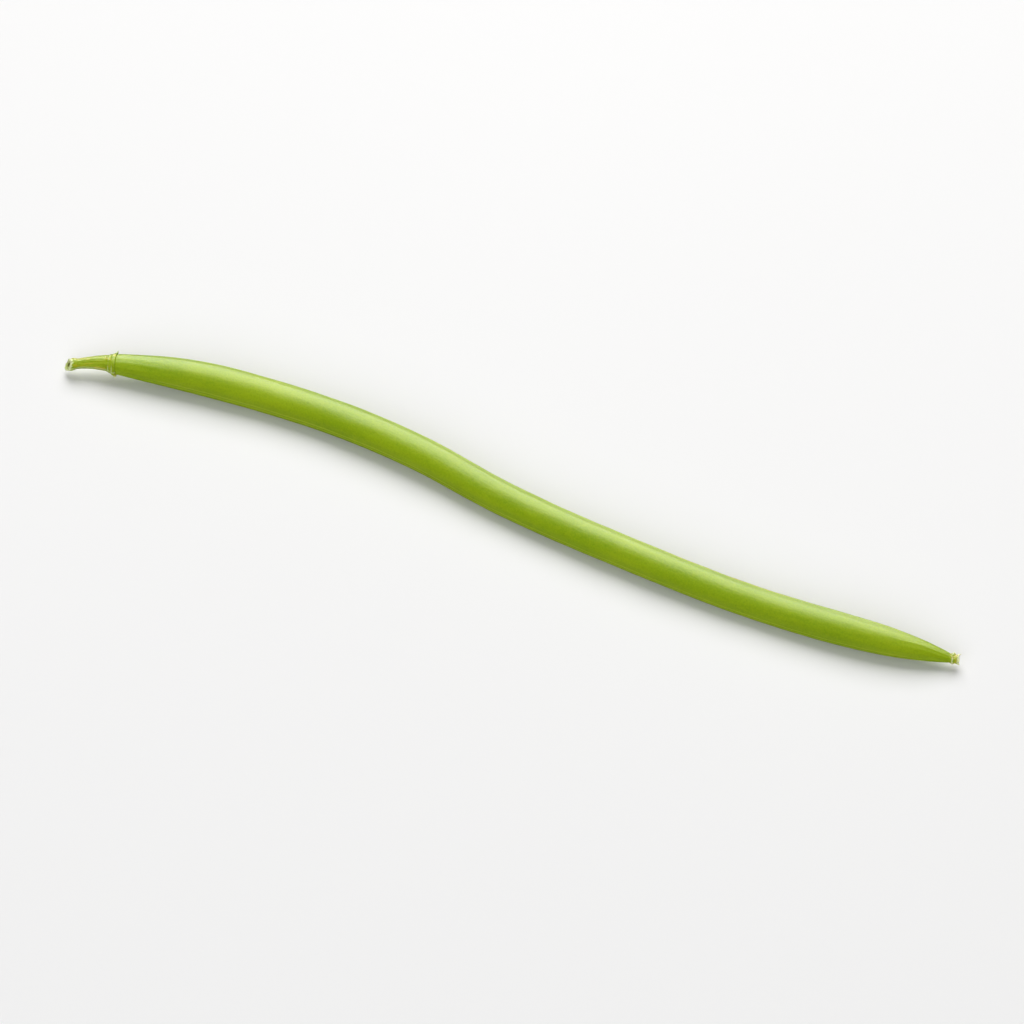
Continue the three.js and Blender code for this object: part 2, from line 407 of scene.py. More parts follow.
class RingForm:
    """A form grown ring by ring along +X, by extruding and resizing its open end."""

    def __init__(self, name: str, columns: int, station: float, radius: float) -> None:
        """Add the first ring and stay in edit mode.

        Args:
            name: The piece's name.
            columns: Points in a ring.
            station: Where the ring lies, in mm.
            radius: Its radius, in mm.
        """
        deselect_all()
        bpy.ops.mesh.primitive_circle_add(
            vertices=columns, radius=radius, location=(station, 0, 0), rotation=(0, math.pi / 2, 0)
        )
        self.piece = bpy.context.object
        self.piece.name = name
        self.piece.data.name = name
        bpy.ops.object.transform_apply(location=True, rotation=True, scale=True)
        self.station = station
        self.radius = radius
        bpy.ops.object.mode_set(mode="EDIT")
        bpy.ops.mesh.select_all(action="SELECT")

    def flatten(self, share: float, start: float = -math.inf) -> None:
        """Press the form flatter between the cheeks, from a station on."""
        choose(self.piece, lambda spot: spot.station > start)
        bpy.ops.transform.resize(value=(1, 1, share), center_override=(0, 0, 0))

    def grow(self, station: float, radius: float) -> None:
        """Extrude the open end.

        Args:
            station: Its new station, in mm.
            radius: Its new radius, in mm.
        """
        bpy.ops.mesh.extrude_region_move(
            TRANSFORM_OT_translate={"value": (station - self.station, 0, 0)}
        )
        share = radius / self.radius
        bpy.ops.transform.resize(value=(1, share, share), center_override=(station, 0, 0))
        self.station = station
        self.radius = radius

    def close(self, away: float) -> None:
        """Extrude the open end once more and draw it together on the axis."""
        bpy.ops.mesh.extrude_region_move(TRANSFORM_OT_translate={"value": (away, 0, 0)})
        bpy.ops.mesh.merge(type="CENTER")

    def close_start(self, start: float, away: float) -> None:
        """Draw the first ring together on the axis, away from its station."""
        choose(self.piece, lambda spot: abs(spot.station - start) < SAME_POINT)
        self.close(away)

    def nudge(self, wanted: Callable[[Spot], bool], move: Iterable[float]) -> None:
        """Move the points whose place is wanted."""
        if choose(self.piece, wanted):
            bpy.ops.transform.translate(value=tuple(move))

    def leave(self) -> bpy.types.Object:
        """Turn the faces outwards, leave edit mode and round the form.

        Returns:
            The piece, selected and active.
        """
        bpy.ops.mesh.select_all(action="SELECT")
        bpy.ops.mesh.remove_doubles(threshold=SAME_POINT)
        bpy.ops.mesh.normals_make_consistent(inside=False)
        bpy.ops.object.mode_set(mode="OBJECT")
        apply_modifier(self.piece, "SUBSURF", levels=ROUNDING, render_levels=ROUNDING)
        return self.piece


def apply_modifier(piece: bpy.types.Object, kind: str, **settings: object) -> None:
    """Add a modifier to a piece, set it and apply it.

    Args:
        piece: The piece.
        kind: Blender's name for the modifier's type.
        **settings: Values for the modifier's own fields.
    """
    pick(piece)
    modifier = piece.modifiers.new(kind.lower(), kind)
    for key, value in settings.items():
        setattr(modifier, key, value)
    bpy.ops.object.modifier_apply(modifier=modifier.name)


def spots(piece: bpy.types.Object) -> list[Spot]:
    """List the places of a piece's points.

    Args:
        piece: The piece, still straight, in mm.

    Returns:
        One place for each point, in order.
    """
    flat = np.empty(3 * len(piece.data.vertices), dtype=np.float32)
    piece.data.vertices.foreach_get("co", flat)
    return [Spot(*place) for place in flat.reshape(-1, 3).tolist()]


def raise_relief(
    piece: bpy.types.Object, height: float, weight: Weight, direction: str = "NORMAL"
) -> None:
    """Raise a piece's skin where a weight says so.

    Args:
        piece: The piece, still straight, in mm.
        height: How far the skin rises where the weight is 1, in mm. Below 0 it sinks.
        weight: Gives the weight of a spot, 0 to 1.
        direction: "NORMAL" to move the skin outwards, "X" to move it along the piece.
    """
    group = piece.vertex_groups.new(name="relief")
    for index, spot in enumerate(spots(piece)):
        share = weight(spot)
        if share > 0.0:
            group.add((index,), share, "REPLACE")
    rise = {"strength": height, "mid_level": 0.0, "direction": direction}
    apply_modifier(piece, "DISPLACE", vertex_group=group.name, **rise)
    piece.vertex_groups.clear()


def mark_edge(piece: bpy.types.Object, dryness: Weight) -> None:
    """Write how dry each point of a piece is, for its skin to read."""
    edge = piece.data.attributes.new(EDGE, "FLOAT", "POINT")
    edge.data.foreach_set("value", [clamp(dryness(spot)) for spot in spots(piece)])


def stretch_piece(piece: bpy.types.Object, share: float) -> None:
    """Resize a piece along its length, about its origin.

    Args:
        piece: The piece.
        share: Its new length, as a share of the old one.
    """
    pick(piece)
    bpy.ops.object.mode_set(mode="EDIT")
    bpy.ops.mesh.select_all(action="SELECT")
    bpy.ops.transform.resize(value=(share, 1, 1), center_override=(0, 0, 0))
    bpy.ops.object.mode_set(mode="OBJECT")


@dataclass(frozen=True)
class Unevenness:
    """A random unevenness of a piece's skin, in mm."""

    height: float
    grain: float                # size of one bump across the piece
    stretch: float = 1.0        # how many times longer a bump is along the piece
    detail: int = 2             # how many sizes of finer bumps lie on it

    def roughen(self, piece: bpy.types.Object) -> None:
        """Give a piece this unevenness.

        Args:
            piece: The piece, still straight, in mm.
        """
        texture = bpy.data.textures.new("unevenness", "CLOUDS")
        texture.noise_scale = self.grain
        texture.noise_depth = self.detail
        rise = {"strength": self.height, "mid_level": 0.5}
        stretch_piece(piece, 1 / self.stretch)
        apply_modifier(piece, "DISPLACE", texture=texture, texture_coords="LOCAL", **rise)
        stretch_piece(piece, self.stretch)
        bpy.data.textures.remove(texture)


def bend_and_place(piece: bpy.types.Object, spine: Spine, guide: bpy.types.Object) -> None:
    """Bend a straight piece along the spine, press it flat on the table and bring it to metres.

    Args:
        piece: The straight piece, in mm.
        spine: The bean's spine.
        guide: The curve made by the spine.
    """
    kept = piece.data.attributes.new(STRAIGHT, "FLOAT_VECTOR", "POINT")
    kept.data.foreach_set("vector", np.array(spots(piece), dtype=np.float32).ravel())
    pick(piece)
    bpy.ops.object.mode_set(mode="EDIT")
    bpy.ops.mesh.select_all(action="SELECT")
    bpy.ops.transform.translate(value=(-spine.guide_start, 0, 0))
    bpy.ops.object.mode_set(mode="OBJECT")
    apply_modifier(piece, "CURVE", object=guide, deform_axis="POS_X")
    bpy.ops.object.mode_set(mode="EDIT")
    if choose(piece, lambda bent: bent[2] < 0.0):       # below the table, now that it is bent
        bpy.ops.transform.resize(value=(1, 1, 0), center_override=(0, 0, 0))
    bpy.ops.mesh.select_all(action="SELECT")
    bpy.ops.transform.resize(value=(MM, MM, MM), center_override=(0, 0, 0))
    bpy.ops.object.mode_set(mode="OBJECT")
    bpy.ops.object.shade_smooth()


# ---- Laying nodes -------------------------------------------------------------------------------


class NodeBench:
    """Lays and links the nodes of one shader tree."""

    def __init__(self, tree: bpy.types.NodeTree) -> None:
        """Keep the tree to work on."""
        self.tree = tree

    def feed(self, socket: Socket, given: Level | tuple[float, ...]) -> None:
        """Link a socket to an input, or write a value into it.

        Args:
            socket: The input.
            given: A socket, a number, a vector or a colour without alpha.
        """
        if isinstance(given, Socket):
            self.tree.links.new(given, socket)
        elif socket.type == "RGBA":
            socket.default_value = (*given, 1.0)
        else:
            socket.default_value = given

    def put(
        self, kind: str, inputs: dict[str | int, Level] | None = None, **settings: object
    ) -> bpy.types.Node:
        """Add one node.

        Args:
            kind: The node's type, without its ShaderNode prefix.
            inputs: A value or a socket for each input that isn't left alone.
            **settings: Values for the node's own fields.

        Returns:
            The node.
        """
        node = self.tree.nodes.new("ShaderNode" + kind)
        for key, value in settings.items():
            setattr(node, key, value)
        for key, value in (inputs or {}).items():
            self.feed(node.inputs[key], value)
        row, column = divmod(len(self.tree.nodes), NODES_IN_ROW)
        node.location = (NODE_WIDTH * column, -NODE_HEIGHT * row)
        return node

    def sum(self, operation: str, *values: Level) -> Socket:
        """Add a Math node and give its output."""
        return self.put("Math", dict(enumerate(values)), operation=operation).outputs[0]

    def times(self, first: Level, *others: Level) -> Socket:
        """Multiply two or more levels.

        Args:
            first: The first level.
            *others: The others.

        Returns:
            Their product.
        """
        product = first
        for other in others:
            product = self.sum("MULTIPLY", product, other)
        return product

    def fade(
        self, value: Level, start: float, end: float, low: float = 0.0, high: float = 1.0
    ) -> Socket:
        """Go smoothly from one level to another.

        Args:
            value: The value that is followed.
            start: Its value where the change starts.
            end: Its value where the change ends.
            low: The level at the start.
            high: The level at the end.

        Returns:
            The level.
        """
        limits = {"From Min": start, "From Max": end, "To Min": low, "To Max": high}
        node = self.put("MapRange", {"Value": value, **limits}, interpolation_type="SMOOTHSTEP")
        return node.outputs["Result"]

    def wash(self, mask: Socket, wash: Wash) -> Socket:
        """Say how much of a wash shows."""
        return self.fade(mask, wash.start, wash.full, wash.base, wash.share)

    def band(self, value: Level, band: Band) -> Socket:
        """Rise from 0 to 1 and fall back to 0 as a value goes through a band."""
        start, full, until, end = band
        return self.times(self.fade(value, start, full), self.fade(value, end, until))

    def noise(self, place: Socket, scale: Level, detail: float, roughness: float = 0.5) -> Socket:
        """Add a cloudy noise.

        Args:
            place: Where to read it.
            scale: Clouds in a unit of length.
            detail: How many finer clouds lie in each.
            roughness: How strong the finer clouds are.

        Returns:
            The noise, from about 0.3 to 0.7.
        """
        inputs = {"Vector": place, "Scale": scale, "Detail": detail, "Roughness": roughness}
        return self.put("TexNoise", inputs).outputs["Fac"]

    def blend(self, share: Level, below: Colour | Socket, above: Colour | Socket) -> Socket:
        """Lay one colour over another.

        Args:
            share: How much of the upper colour shows.
            below: The lower colour.
            above: The upper colour.

        Returns:
            The mixed colour.
        """
        node = self.put("Mix", data_type="RGBA")
        self.feed(node.inputs["Factor"], share)
        for socket, given in zip((s for s in node.inputs if s.type == "RGBA"), (below, above)):
            self.feed(socket, given)
        return next(s for s in node.outputs if s.type == "RGBA")

    def paint(self, colour: Colour | Socket, layers: Iterable[Layer]) -> Socket:
        """Lay paints over a colour, each where its mask shows.

        Args:
            colour: The colour below.
            layers: The paints in order, each with its mask and how it follows the mask.

        Returns:
            The painted colour.
        """
        for mask, wash, paint in layers:
            colour = self.blend(self.wash(mask, wash), colour, paint)
        return colour


@dataclass(frozen=True)
class Effect:
    """A shader node group that several finishes share."""

    name: str
    inputs: tuple[str, ...]         # the first is a place, the others are sizes
    outputs: tuple[str, ...]
    lay: Callable[[NodeBench, dict[str, Socket]], dict[str, Socket]]

    def tree(self) -> bpy.types.NodeTree:
        """Give the group, building it the first time.

        Returns:
            The group's node tree.
        """
        if self.name in bpy.data.node_groups:
            return bpy.data.node_groups[self.name]
        tree = bpy.data.node_groups.new(self.name, "ShaderNodeTree")
        for way, names in (("INPUT", self.inputs), ("OUTPUT", self.outputs)):
            for name in names:
                kind = "NodeSocketVector" if name == "Place" else "NodeSocketFloat"
                tree.interface.new_socket(name, in_out=way, socket_type=kind)
        entry = tree.nodes.new("NodeGroupInput")
        leave = tree.nodes.new("NodeGroupOutput")
        made = self.lay(NodeBench(tree), {s.name: s for s in entry.outputs if s.name})
        for name, socket in made.items():
            tree.links.new(socket, leave.inputs[name])
        return tree

    def place(self, bench: NodeBench, *values: Level) -> dict[str, Socket]:
        """Place the group in a material.

        Args:
            bench: The material's bench.
            *values: A value or a socket for each input.

        Returns:
            The group's outputs by name.
        """
        node = bench.put("Group", node_tree=self.tree())
        for socket, value in zip(node.inputs, values):
            bench.feed(socket, value)
        return {s.name: s for s in node.outputs}


def lay_place(bench: NodeBench, _: dict[str, Socket]) -> dict[str, Socket]:
    """Read where on the straight piece a point lies.

    Args:
        bench: The group's bench.
        _: The group has no inputs.

    Returns:
        The group's outputs. Either seam's is the distance round the piece from its line.
    """
    straight, edge = (
        bench.put("Attribute", attribute_name=name, attribute_type="GEOMETRY").outputs
        for name in (STRAIGHT, EDGE)
    )
    parts = bench.put("SeparateXYZ", {"Vector": straight["Vector"]}).outputs
    seam, cheek = parts["Y"], parts["Z"]
    angle = bench.sum("ARCTAN2", cheek, seam)
    lower = bench.sum("WRAP", bench.sum("SUBTRACT", angle, Seam.LOWER.value), math.pi, -math.pi)
    squares = bench.sum("ADD", bench.times(seam, seam), bench.times(cheek, cheek))
    radius = bench.sum("SQRT", squares)
    return {
        "Place": straight["Vector"],
        "Station": parts["X"],
        "Radius": radius,
        "Upper Seam": bench.times(bench.sum("ABSOLUTE", angle), radius),
        "Lower Seam": bench.times(bench.sum("ABSOLUTE", lower), radius),
        "Edge": edge["Fac"],
    }


def lay_streaks(bench: NodeBench, given: dict[str, Socket]) -> dict[str, Socket]:
    """Draw fine streaks along the piece.

    Args:
        bench: The group's bench.
        given: The place, and the length and width of a streak.

    Returns:
        The streaks, 0 to 1.
    """
    shorter, finer = (bench.sum("DIVIDE", 1.0, given[name]) for name in ("Length", "Width"))
    squeeze = bench.put("CombineXYZ", {"X": shorter, "Y": 1.0, "Z": 1.0}).outputs[0]
    drawn = bench.put("VectorMath", {0: given["Place"], 1: squeeze}, operation="MULTIPLY")
    cloud = bench.noise(drawn.outputs[0], finer, detail=3.0, roughness=0.55)
    return {"Streaks": bench.fade(cloud, *NOISE_RANGE)}


def lay_grain(bench: NodeBench, given: dict[str, Socket]) -> dict[str, Socket]:
    """Draw the fine pebbling of a plant's skin.

    Args:
        bench: The group's bench.
        given: The place and the size of a pebble.

    Returns:
        The grain, 0 to 1.
    """
    scale = bench.sum("DIVIDE", 1.0, given["Size"])
    fine = bench.noise(given["Place"], scale, detail=2.0, roughness=0.6)
    cells = bench.put("TexVoronoi", {"Vector": given["Place"], "Scale": scale, "Randomness": 1.0})
    sunk = bench.times(cells.outputs["Distance"], PEBBLE_DEPTH)
    return {"Grain": bench.fade(bench.sum("SUBTRACT", fine, sunk), *GRAIN_RANGE)}


PLACE = Effect(
    "bean_place", (), ("Place", "Station", "Radius", "Upper Seam", "Lower Seam", "Edge"), lay_place
)
STREAKS = Effect("bean_streaks", ("Place", "Length", "Width"), ("Streaks",), lay_streaks)
GRAIN = Effect("bean_grain", ("Place", "Size"), ("Grain",), lay_grain)


# ---- The finishes -------------------------------------------------------------------------------


def start_material(name: str) -> tuple[bpy.types.Material, NodeBench, bpy.types.Node]:
    """Start a material.

    Args:
        name: The material's name.

    Returns:
        The material, its bench and its Principled BSDF.
    """
    material = bpy.data.materials.new(name)
    material.use_nodes = True
    return material, NodeBench(material.node_tree), material.node_tree.nodes["Principled BSDF"]


def draw_streaks(bench: NodeBench, place: dict[str, Socket], streak: Streak) -> Socket:
    """Draw streaks of one length and width."""
    return STREAKS.place(bench, place["Place"], *streak)["Streaks"]


@dataclass(frozen=True)
class PlantSkin:
    """What the skins of all the pieces share. Sizes are in mm."""

    name: str
    roughness: float = 0.4
    fine_smoother: float = 0.05     # how much less rough the skin is where its grain is fine
    coarse_rougher: float = 0.07    # how much rougher where its grain is coarse
    gloss: float = 0.2
    glow: float = 0.15              # share of the light that enters the skin
    glow_reach: Colour = (0.5, 1.0, 0.15)       # how far each colour spreads in it
    glow_depth: float = 0.8

    def finish(
        self,
        bench: NodeBench,
        shader: bpy.types.Node,
        colour: Socket,
        grain: Socket,
        reliefs: Iterable[tuple[Socket, float]],
        dulled: Level = 0.0,
    ) -> None:
        """Link the skin's paint, roughness and relief to its shader.

        Args:
            bench: The material's bench.
            shader: Its Principled BSDF.
            colour: The painted colour.
            grain: The grain, which also sets the roughness.
            reliefs: What rises from the skin, each with its height in mm.
            dulled: How much roughness to add.
        """
        low, high = self.roughness - self.fine_smoother, self.roughness + self.coarse_rougher
        roughness = bench.sum("ADD", bench.fade(grain, 0.0, 1.0, low, high), dulled)
        relief: Level = 0.0
        for mask, height in reliefs:
            relief = bench.sum("ADD", relief, bench.times(mask, height))
        bump = bench.put("Bump", {"Strength": 1.0, "Distance": MM, "Height": relief})
        for name, given in (
            ("Base Color", colour),
            ("Roughness", roughness),
            ("Normal", bump.outputs["Normal"]),
            ("Specular IOR Level", self.gloss),
            ("Subsurface Weight", self.glow),
            ("Subsurface Radius", self.glow_reach),
            ("Subsurface Scale", self.glow_depth * MM),
        ):
            bench.feed(shader.inputs[name], given)


@dataclass(frozen=True)
class SeamPaint:
    """How strongly one seam's painted highlight and painted shade are laid."""

    seam: Seam
    pale: float         # share of the pale paint on the crests: their own paler colour and a painted highlight
    painted_shade: float         # share of the full painted shade beside and between them

    @property
    def distance(self) -> str:
        """The output of PLACE that measures from this seam."""
        return self.seam.name.title() + " Seam"


@dataclass(frozen=True)
class PodSkin(PlantSkin):
    """The satin green skin of the pod. Sizes are in mm, and bands lie across or along the pod."""

    name: str = "pod_skin"
    roughness: float = 0.42
    green: Colour = (0.240, 0.372, 0.0015)
    deep_green: Colour = (0.175, 0.295, 0.001)
    young_green: Colour = (0.290, 0.415, 0.003)
    bloom: Colour = (0.360, 0.470, 0.006)
    # The seams' crests: their own paler colour with a painted highlight. Their groove and furrows:
    # painted shade.
    seam_pale_and_highlight: Colour = (0.400, 0.500, 0.030)
    seam_painted_shade: Colour = (0.115, 0.220, 0.001)
    neck_pale: Colour = (0.400, 0.520, 0.030)
    ochre: Colour = (0.420, 0.400, 0.030)
    rust: Colour = (0.480, 0.330, 0.020)
    whitish_green: Colour = (0.760, 0.820, 0.440)
    young_clouds: Wash = Wash(0.35, 0.65, 1.0)
    deep_streaks: Wash = Wash(0.2, 0.9, 0.3)
    bloom_streaks: Wash = Wash(0.45, 1.0, 0.16)
    bloom_mottle: Wash = Wash(0.5, 0.75, 0.3)
    bloom_pebbles: Wash = Wash(0.5, 1.0, 0.34)
    deep_pits: Wash = Wash(0.45, 0.0, 0.42)
    grain_size: float = 0.3
    grain_height: float = 0.015
    mottle_scale: float = 1 / 1.1   # spots in a mm
    mottle_height: float = 0.014
    cloud_scale: float = 0.06       # clouds in a mm
    fine_streak: Streak = (26.0, 0.55)
    fine_height: float = 0.008
    wide_streak: Streak = (9.0, 2.2)
    seams: tuple[SeamPaint, ...] = (
        SeamPaint(Seam.UPPER, 0.6, 1.0), SeamPaint(Seam.LOWER, 0.7, 0.45),
    )
    seam_start: Reach = (2.0, 12.0)
    seam_fade: float = 10.0         # over which the seams fade at the tip
    # Where the painted highlight (crest) and the painted shade (groove, furrows) lie, from a
    # seam's line.
    crest: Band = (0.1, 0.25, 0.3, 0.46)
    groove: Reach = (0.18, 0.03)
    groove_share: float = 0.6
    furrow: Band = (0.42, 0.58, 0.62, 0.8)
    furrow_share: float = 0.22
    dulling: float = 0.2            # how much rougher the seams' painted-shade lines are
    rust_streak: Streak = (6.0, 0.7)
    rust_line: Band = (0.19, 0.27, 0.35, 0.44)
    rust_start: Reach = (92.0, 112.0)
    rust_stop: Reach = (12.0, 4.0)                  # before the stub
    rust_wash: Wash = Wash(0.25, 0.7, 0.6)
    neck_fade: Reach = (5.0, -0.5)
    neck_brush: Wash = Wash(0.3, 0.95, 0.4, 0.05)   # how the fine streaks break up the pale neck
    beak_fade: float = 8.0
    beak_brush: Wash = Wash(0.3, 1.0, 0.7, 0.1)
    stub_edge: Reach = (-0.3, 0.5)                  # from the stub's foot
    stub_stain: Streak = (1.5, 0.5)
    stub_wash: Wash = Wash(0.3, 0.7, 1.0)
    dry_share: float = 0.9

    def material(self, spine: Spine) -> bpy.types.Material:
        """Lay the nodes of the skin.

        Args:
            spine: The spine, for the pod's stations.

        Returns:
            The material.
        """
        material, bench, shader = start_material(self.name)
        place = PLACE.place(bench)
        grain = GRAIN.place(bench, place["Place"], self.grain_size)["Grain"]
        fine = draw_streaks(bench, place, self.fine_streak)
        wide = draw_streaks(bench, place, self.wide_streak)
        mottle = bench.noise(place["Place"], self.mottle_scale, detail=3.0, roughness=0.6)
        clouds = bench.noise(place["Place"], self.cloud_scale, detail=2.0)
        colour = bench.paint(self.green, (
            (clouds, self.young_clouds, self.young_green),
            (wide, self.deep_streaks, self.deep_green),
            (fine, self.bloom_streaks, self.bloom),
            (mottle, self.bloom_mottle, self.bloom),
            (grain, self.bloom_pebbles, self.bloom),
            (grain, self.deep_pits, self.deep_green),
        ))
        # The seams' painted highlight and painted shade; the painted-shade mask also makes those
        # lines rougher.
        colour, dulled = self.paint_seams(bench, place, spine, colour)
        colour = self.paint_rust(bench, place, spine, colour)
        colour = self.paint_ends(bench, place, spine, colour, fine)
        reliefs = (
            (grain, self.grain_height), (mottle, self.mottle_height), (fine, self.fine_height),
        )
        self.finish(bench, shader, colour, grain, reliefs, bench.times(dulled, self.dulling))
        return material

    def paint_seams(
        self, bench: NodeBench, place: dict[str, Socket], spine: Spine, colour: Socket
    ) -> tuple[Socket, Socket]:
        """Paint pale crests with a painted highlight, and painted shade in the grooves, on both
        seams.

        Args:
            bench: The material's bench.
            place: The outputs of PLACE.
            spine: The spine, for the pod's stations.
            colour: The colour so far.

        Returns:
            The painted colour, and how strong the seams' painted shade is.
        """
        end = spine.body_end
        shown = bench.band(place["Station"], (*self.seam_start, end - self.seam_fade, end))
        painted_shade_lines: Level = 0.0
        for seam in self.seams:
            distance = place[seam.distance]
            # Pale crests: the seam's paler colour with a painted highlight.
            crest = bench.times(bench.band(distance, self.crest), shown, seam.pale)
            colour = bench.blend(crest, colour, self.seam_pale_and_highlight)
            for line, share in (
                (bench.fade(distance, *self.groove), self.groove_share),
                (bench.band(distance, self.furrow), self.furrow_share),
            ):
                # Painted shade in the groove and the furrows.
                painted_shade = bench.times(line, shown, share * seam.painted_shade)
                colour = bench.blend(painted_shade, colour, self.seam_painted_shade)
                painted_shade_lines = bench.sum("ADD", painted_shade_lines, painted_shade)
        return colour, painted_shade_lines

    def paint_rust(
        self, bench: NodeBench, place: dict[str, Socket], spine: Spine, colour: Socket
    ) -> Socket:
        """Paint a fine broken line of rust on the upper seam's crests, towards the tip.

        Args:
            bench: The material's bench.
            place: The outputs of PLACE.
            spine: The spine, for the pod's stations.
            colour: The colour so far.

        Returns:
            The painted colour.
        """
        fading, gone = (spine.body_end - before for before in self.rust_stop)
        along = bench.band(place["Station"], (*self.rust_start, fading, gone))
        line = bench.band(place["Upper Seam"], self.rust_line)
        rust = bench.times(draw_streaks(bench, place, self.rust_streak), along, line)
        return bench.paint(colour, ((rust, self.rust_wash, self.rust),))

    def paint_ends(
        self,
        bench: NodeBench,
        place: dict[str, Socket],
        spine: Spine,
        colour: Socket,
        fine: Socket,
    ) -> Socket:
        """Paint the pale neck, the beak, and the stained stub with its dry edge.

        Args:
            bench: The material's bench.
            place: The outputs of PLACE.
            spine: The spine, for the pod's stations.
            colour: The colour so far.
            fine: The fine streaks, which the neck and the beak are brushed with.

        Returns:
            The painted colour.
        """
        end = spine.body_end
        stub = (end + edge for edge in self.stub_edge)
        stains = bench.wash(draw_streaks(bench, place, self.stub_stain), self.stub_wash)
        for reach, brush, paint in (
            (self.neck_fade, bench.wash(fine, self.neck_brush), self.neck_pale),
            ((end - self.beak_fade, end), bench.wash(fine, self.beak_brush), self.young_green),
            (stub, stains, self.ochre),
        ):
            shown = bench.times(bench.fade(place["Station"], *reach), brush)
            colour = bench.blend(shown, colour, paint)
        return bench.blend(bench.times(place["Edge"], self.dry_share), colour, self.whitish_green)


@dataclass(frozen=True)
class StemSkin(PlantSkin):
    """Streaky skin of the calyx and stem, with painted highlights and pith shade. Sizes are in mm.
    """

    roughness: float = 0.38
    fine_smoother: float = 0.06
    coarse_rougher: float = 0.08
    glow_reach: Colour = (0.6, 1.0, 0.3)
    glow_depth: float = 0.5
    green: Colour = (0.265, 0.375, 0.004)
    pale: Colour = (0.420, 0.520, 0.025)
    ochre: Colour = (0.500, 0.450, 0.024)
    # Whitish green of the dry torn edges, also used for the painted highlight lines.
    whitish_green: Colour = (0.760, 0.840, 0.440)
    # Dark olive painted as shade inside the hollow of the torn end.
    pith_shade: Colour = (0.150, 0.180, 0.032)
    grain_size: float = 0.22
    grain_height: float = 0.015
    streak: Streak = (8.0, 0.4)
    streak_height: float = 0.02
    stain: Streak = (4.0, 0.6)
    pale_streaks: Wash = Wash(0.3, 0.9, 0.45)
    ochre_stains: Wash = Wash(0.62, 0.8, 0.8)
    pale_grain: Wash = Wash(0.5, 1.0, 0.3)
    painted_edge_highlight: Wash = Wash(0.3, 0.1, 0.38)          # painted highlight along both seam lines, by the distance from the nearer seam
    dry_share: float = 0.9
    pith_hollow_shade: Wash = Wash(0.38, 0.19, 1.0)         # painted shade in the hollow pith, by the distance from the axis
    pith_wander: float = 0.12                       # how far the edge of the painted pith shade strays

    def material(self) -> bpy.types.Material:
        """Lay the nodes of the skin.

        Returns:
            The material.
        """
        material, bench, shader = start_material(self.name)
        place = PLACE.place(bench)
        grain = GRAIN.place(bench, place["Place"], self.grain_size)["Grain"]
        streaks = draw_streaks(bench, place, self.streak)
        stains = draw_streaks(bench, place, self.stain)
        # Distance from the nearer seam line, along which a painted highlight runs.
        line = bench.sum("MINIMUM", place["Upper Seam"], place["Lower Seam"])
        strayed = bench.sum("SUBTRACT", place["Radius"], bench.times(stains, self.pith_wander))
        colour = bench.paint(self.green, (
            (streaks, self.pale_streaks, self.pale),
            (stains, self.ochre_stains, self.ochre),
            (grain, self.pale_grain, self.pale),
            # painted highlight along the upper and lower seam lines
            (line, self.painted_edge_highlight, self.whitish_green),
        ))
        colour = bench.blend(bench.times(place["Edge"], self.dry_share), colour, self.whitish_green)
        # Painted shade inside the hollow pith at the torn end.
        colour = bench.paint(colour, ((strayed, self.pith_hollow_shade, self.pith_shade),))
        reliefs = (grain, self.grain_height), (streaks, self.streak_height)
        self.finish(bench, shader, colour, grain, reliefs)
        return material


# ---- The pieces ---------------------------------------------------------------------------------


def stand_for(node: str, piece: bpy.types.Object, skin: bpy.types.Material) -> None:
    """Dress a piece and let it stand for its node.

    Args:
        node: The node, which is hidden.
        piece: The finished piece.
        skin: Its material.
    """
    piece.data.materials.append(skin)
    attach(piece, "root")
    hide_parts(node)


@dataclass(frozen=True)
class SeamRidge:
    """The double ridge along one seam, in mm."""

    seam: Seam
    height: float                   # of the crests
    depth: float                    # of the groove and of the furrows outside the crests
    half_gap: float = 0.28          # from the groove to either crest
    spread: float = 0.17            # over which a crest falls away
    groove_share: float = 0.8       # share of the depth that the groove has
    groove_spread: float = 0.6      # over which it falls away, as a share of a crest's spread
    furrow_share: float = 0.6       # share of the depth that the furrows have
    furrow_gap: float = 2.6         # from the groove to either furrow, as a share of half_gap
    line: Wander = Wander(0.0, 0.05, 14.0)          # how the seam strays
    strength: Wander = Wander(0.85, 0.15, 5.0)      # how high its crests are
    reach: float = 1.5              # how far from its line the seam is felt

    def away(self, spot: Spot) -> float:
        """Measure round the pod from the seam's wandering line."""
        angle = math.remainder(spot.turn - self.seam.value, math.tau)
        return angle * spot.radius + self.line.at(spot.station, self.seam.value)

    def crests(self, spot: Spot) -> float:
        """Weigh the two crests.

        Args:
            spot: A place on the pod.

        Returns:
            Their weight there.
        """
        away = self.away(spot)
        if abs(away) > self.reach:
            return 0.0
        both = bell(away - self.half_gap, self.spread) + bell(away + self.half_gap, self.spread)
        return both * self.strength.at(spot.station, away)

    def furrows(self, spot: Spot) -> float:
        """Weigh the groove between the crests and the furrows outside them.

        Args:
            spot: A place on the pod.

        Returns:
            Their weight there.
        """
        away = self.away(spot)
        if abs(away) > self.reach:
            return 0.0
        outside = bell(abs(away) - self.furrow_gap * self.half_gap, self.spread)
        groove = bell(away, self.groove_spread * self.spread)
        return self.groove_share * groove + self.furrow_share * outside


@dataclass(frozen=True)
class TornRing:
    """A ragged ring of the stub."""

    share: float        # where it lies along the stub
    spread: float       # how far on either side it is torn, as a share of the stub's length
    fold: float         # how far it is folded outwards, in mm
    pull: float         # how far it is pulled along, in mm


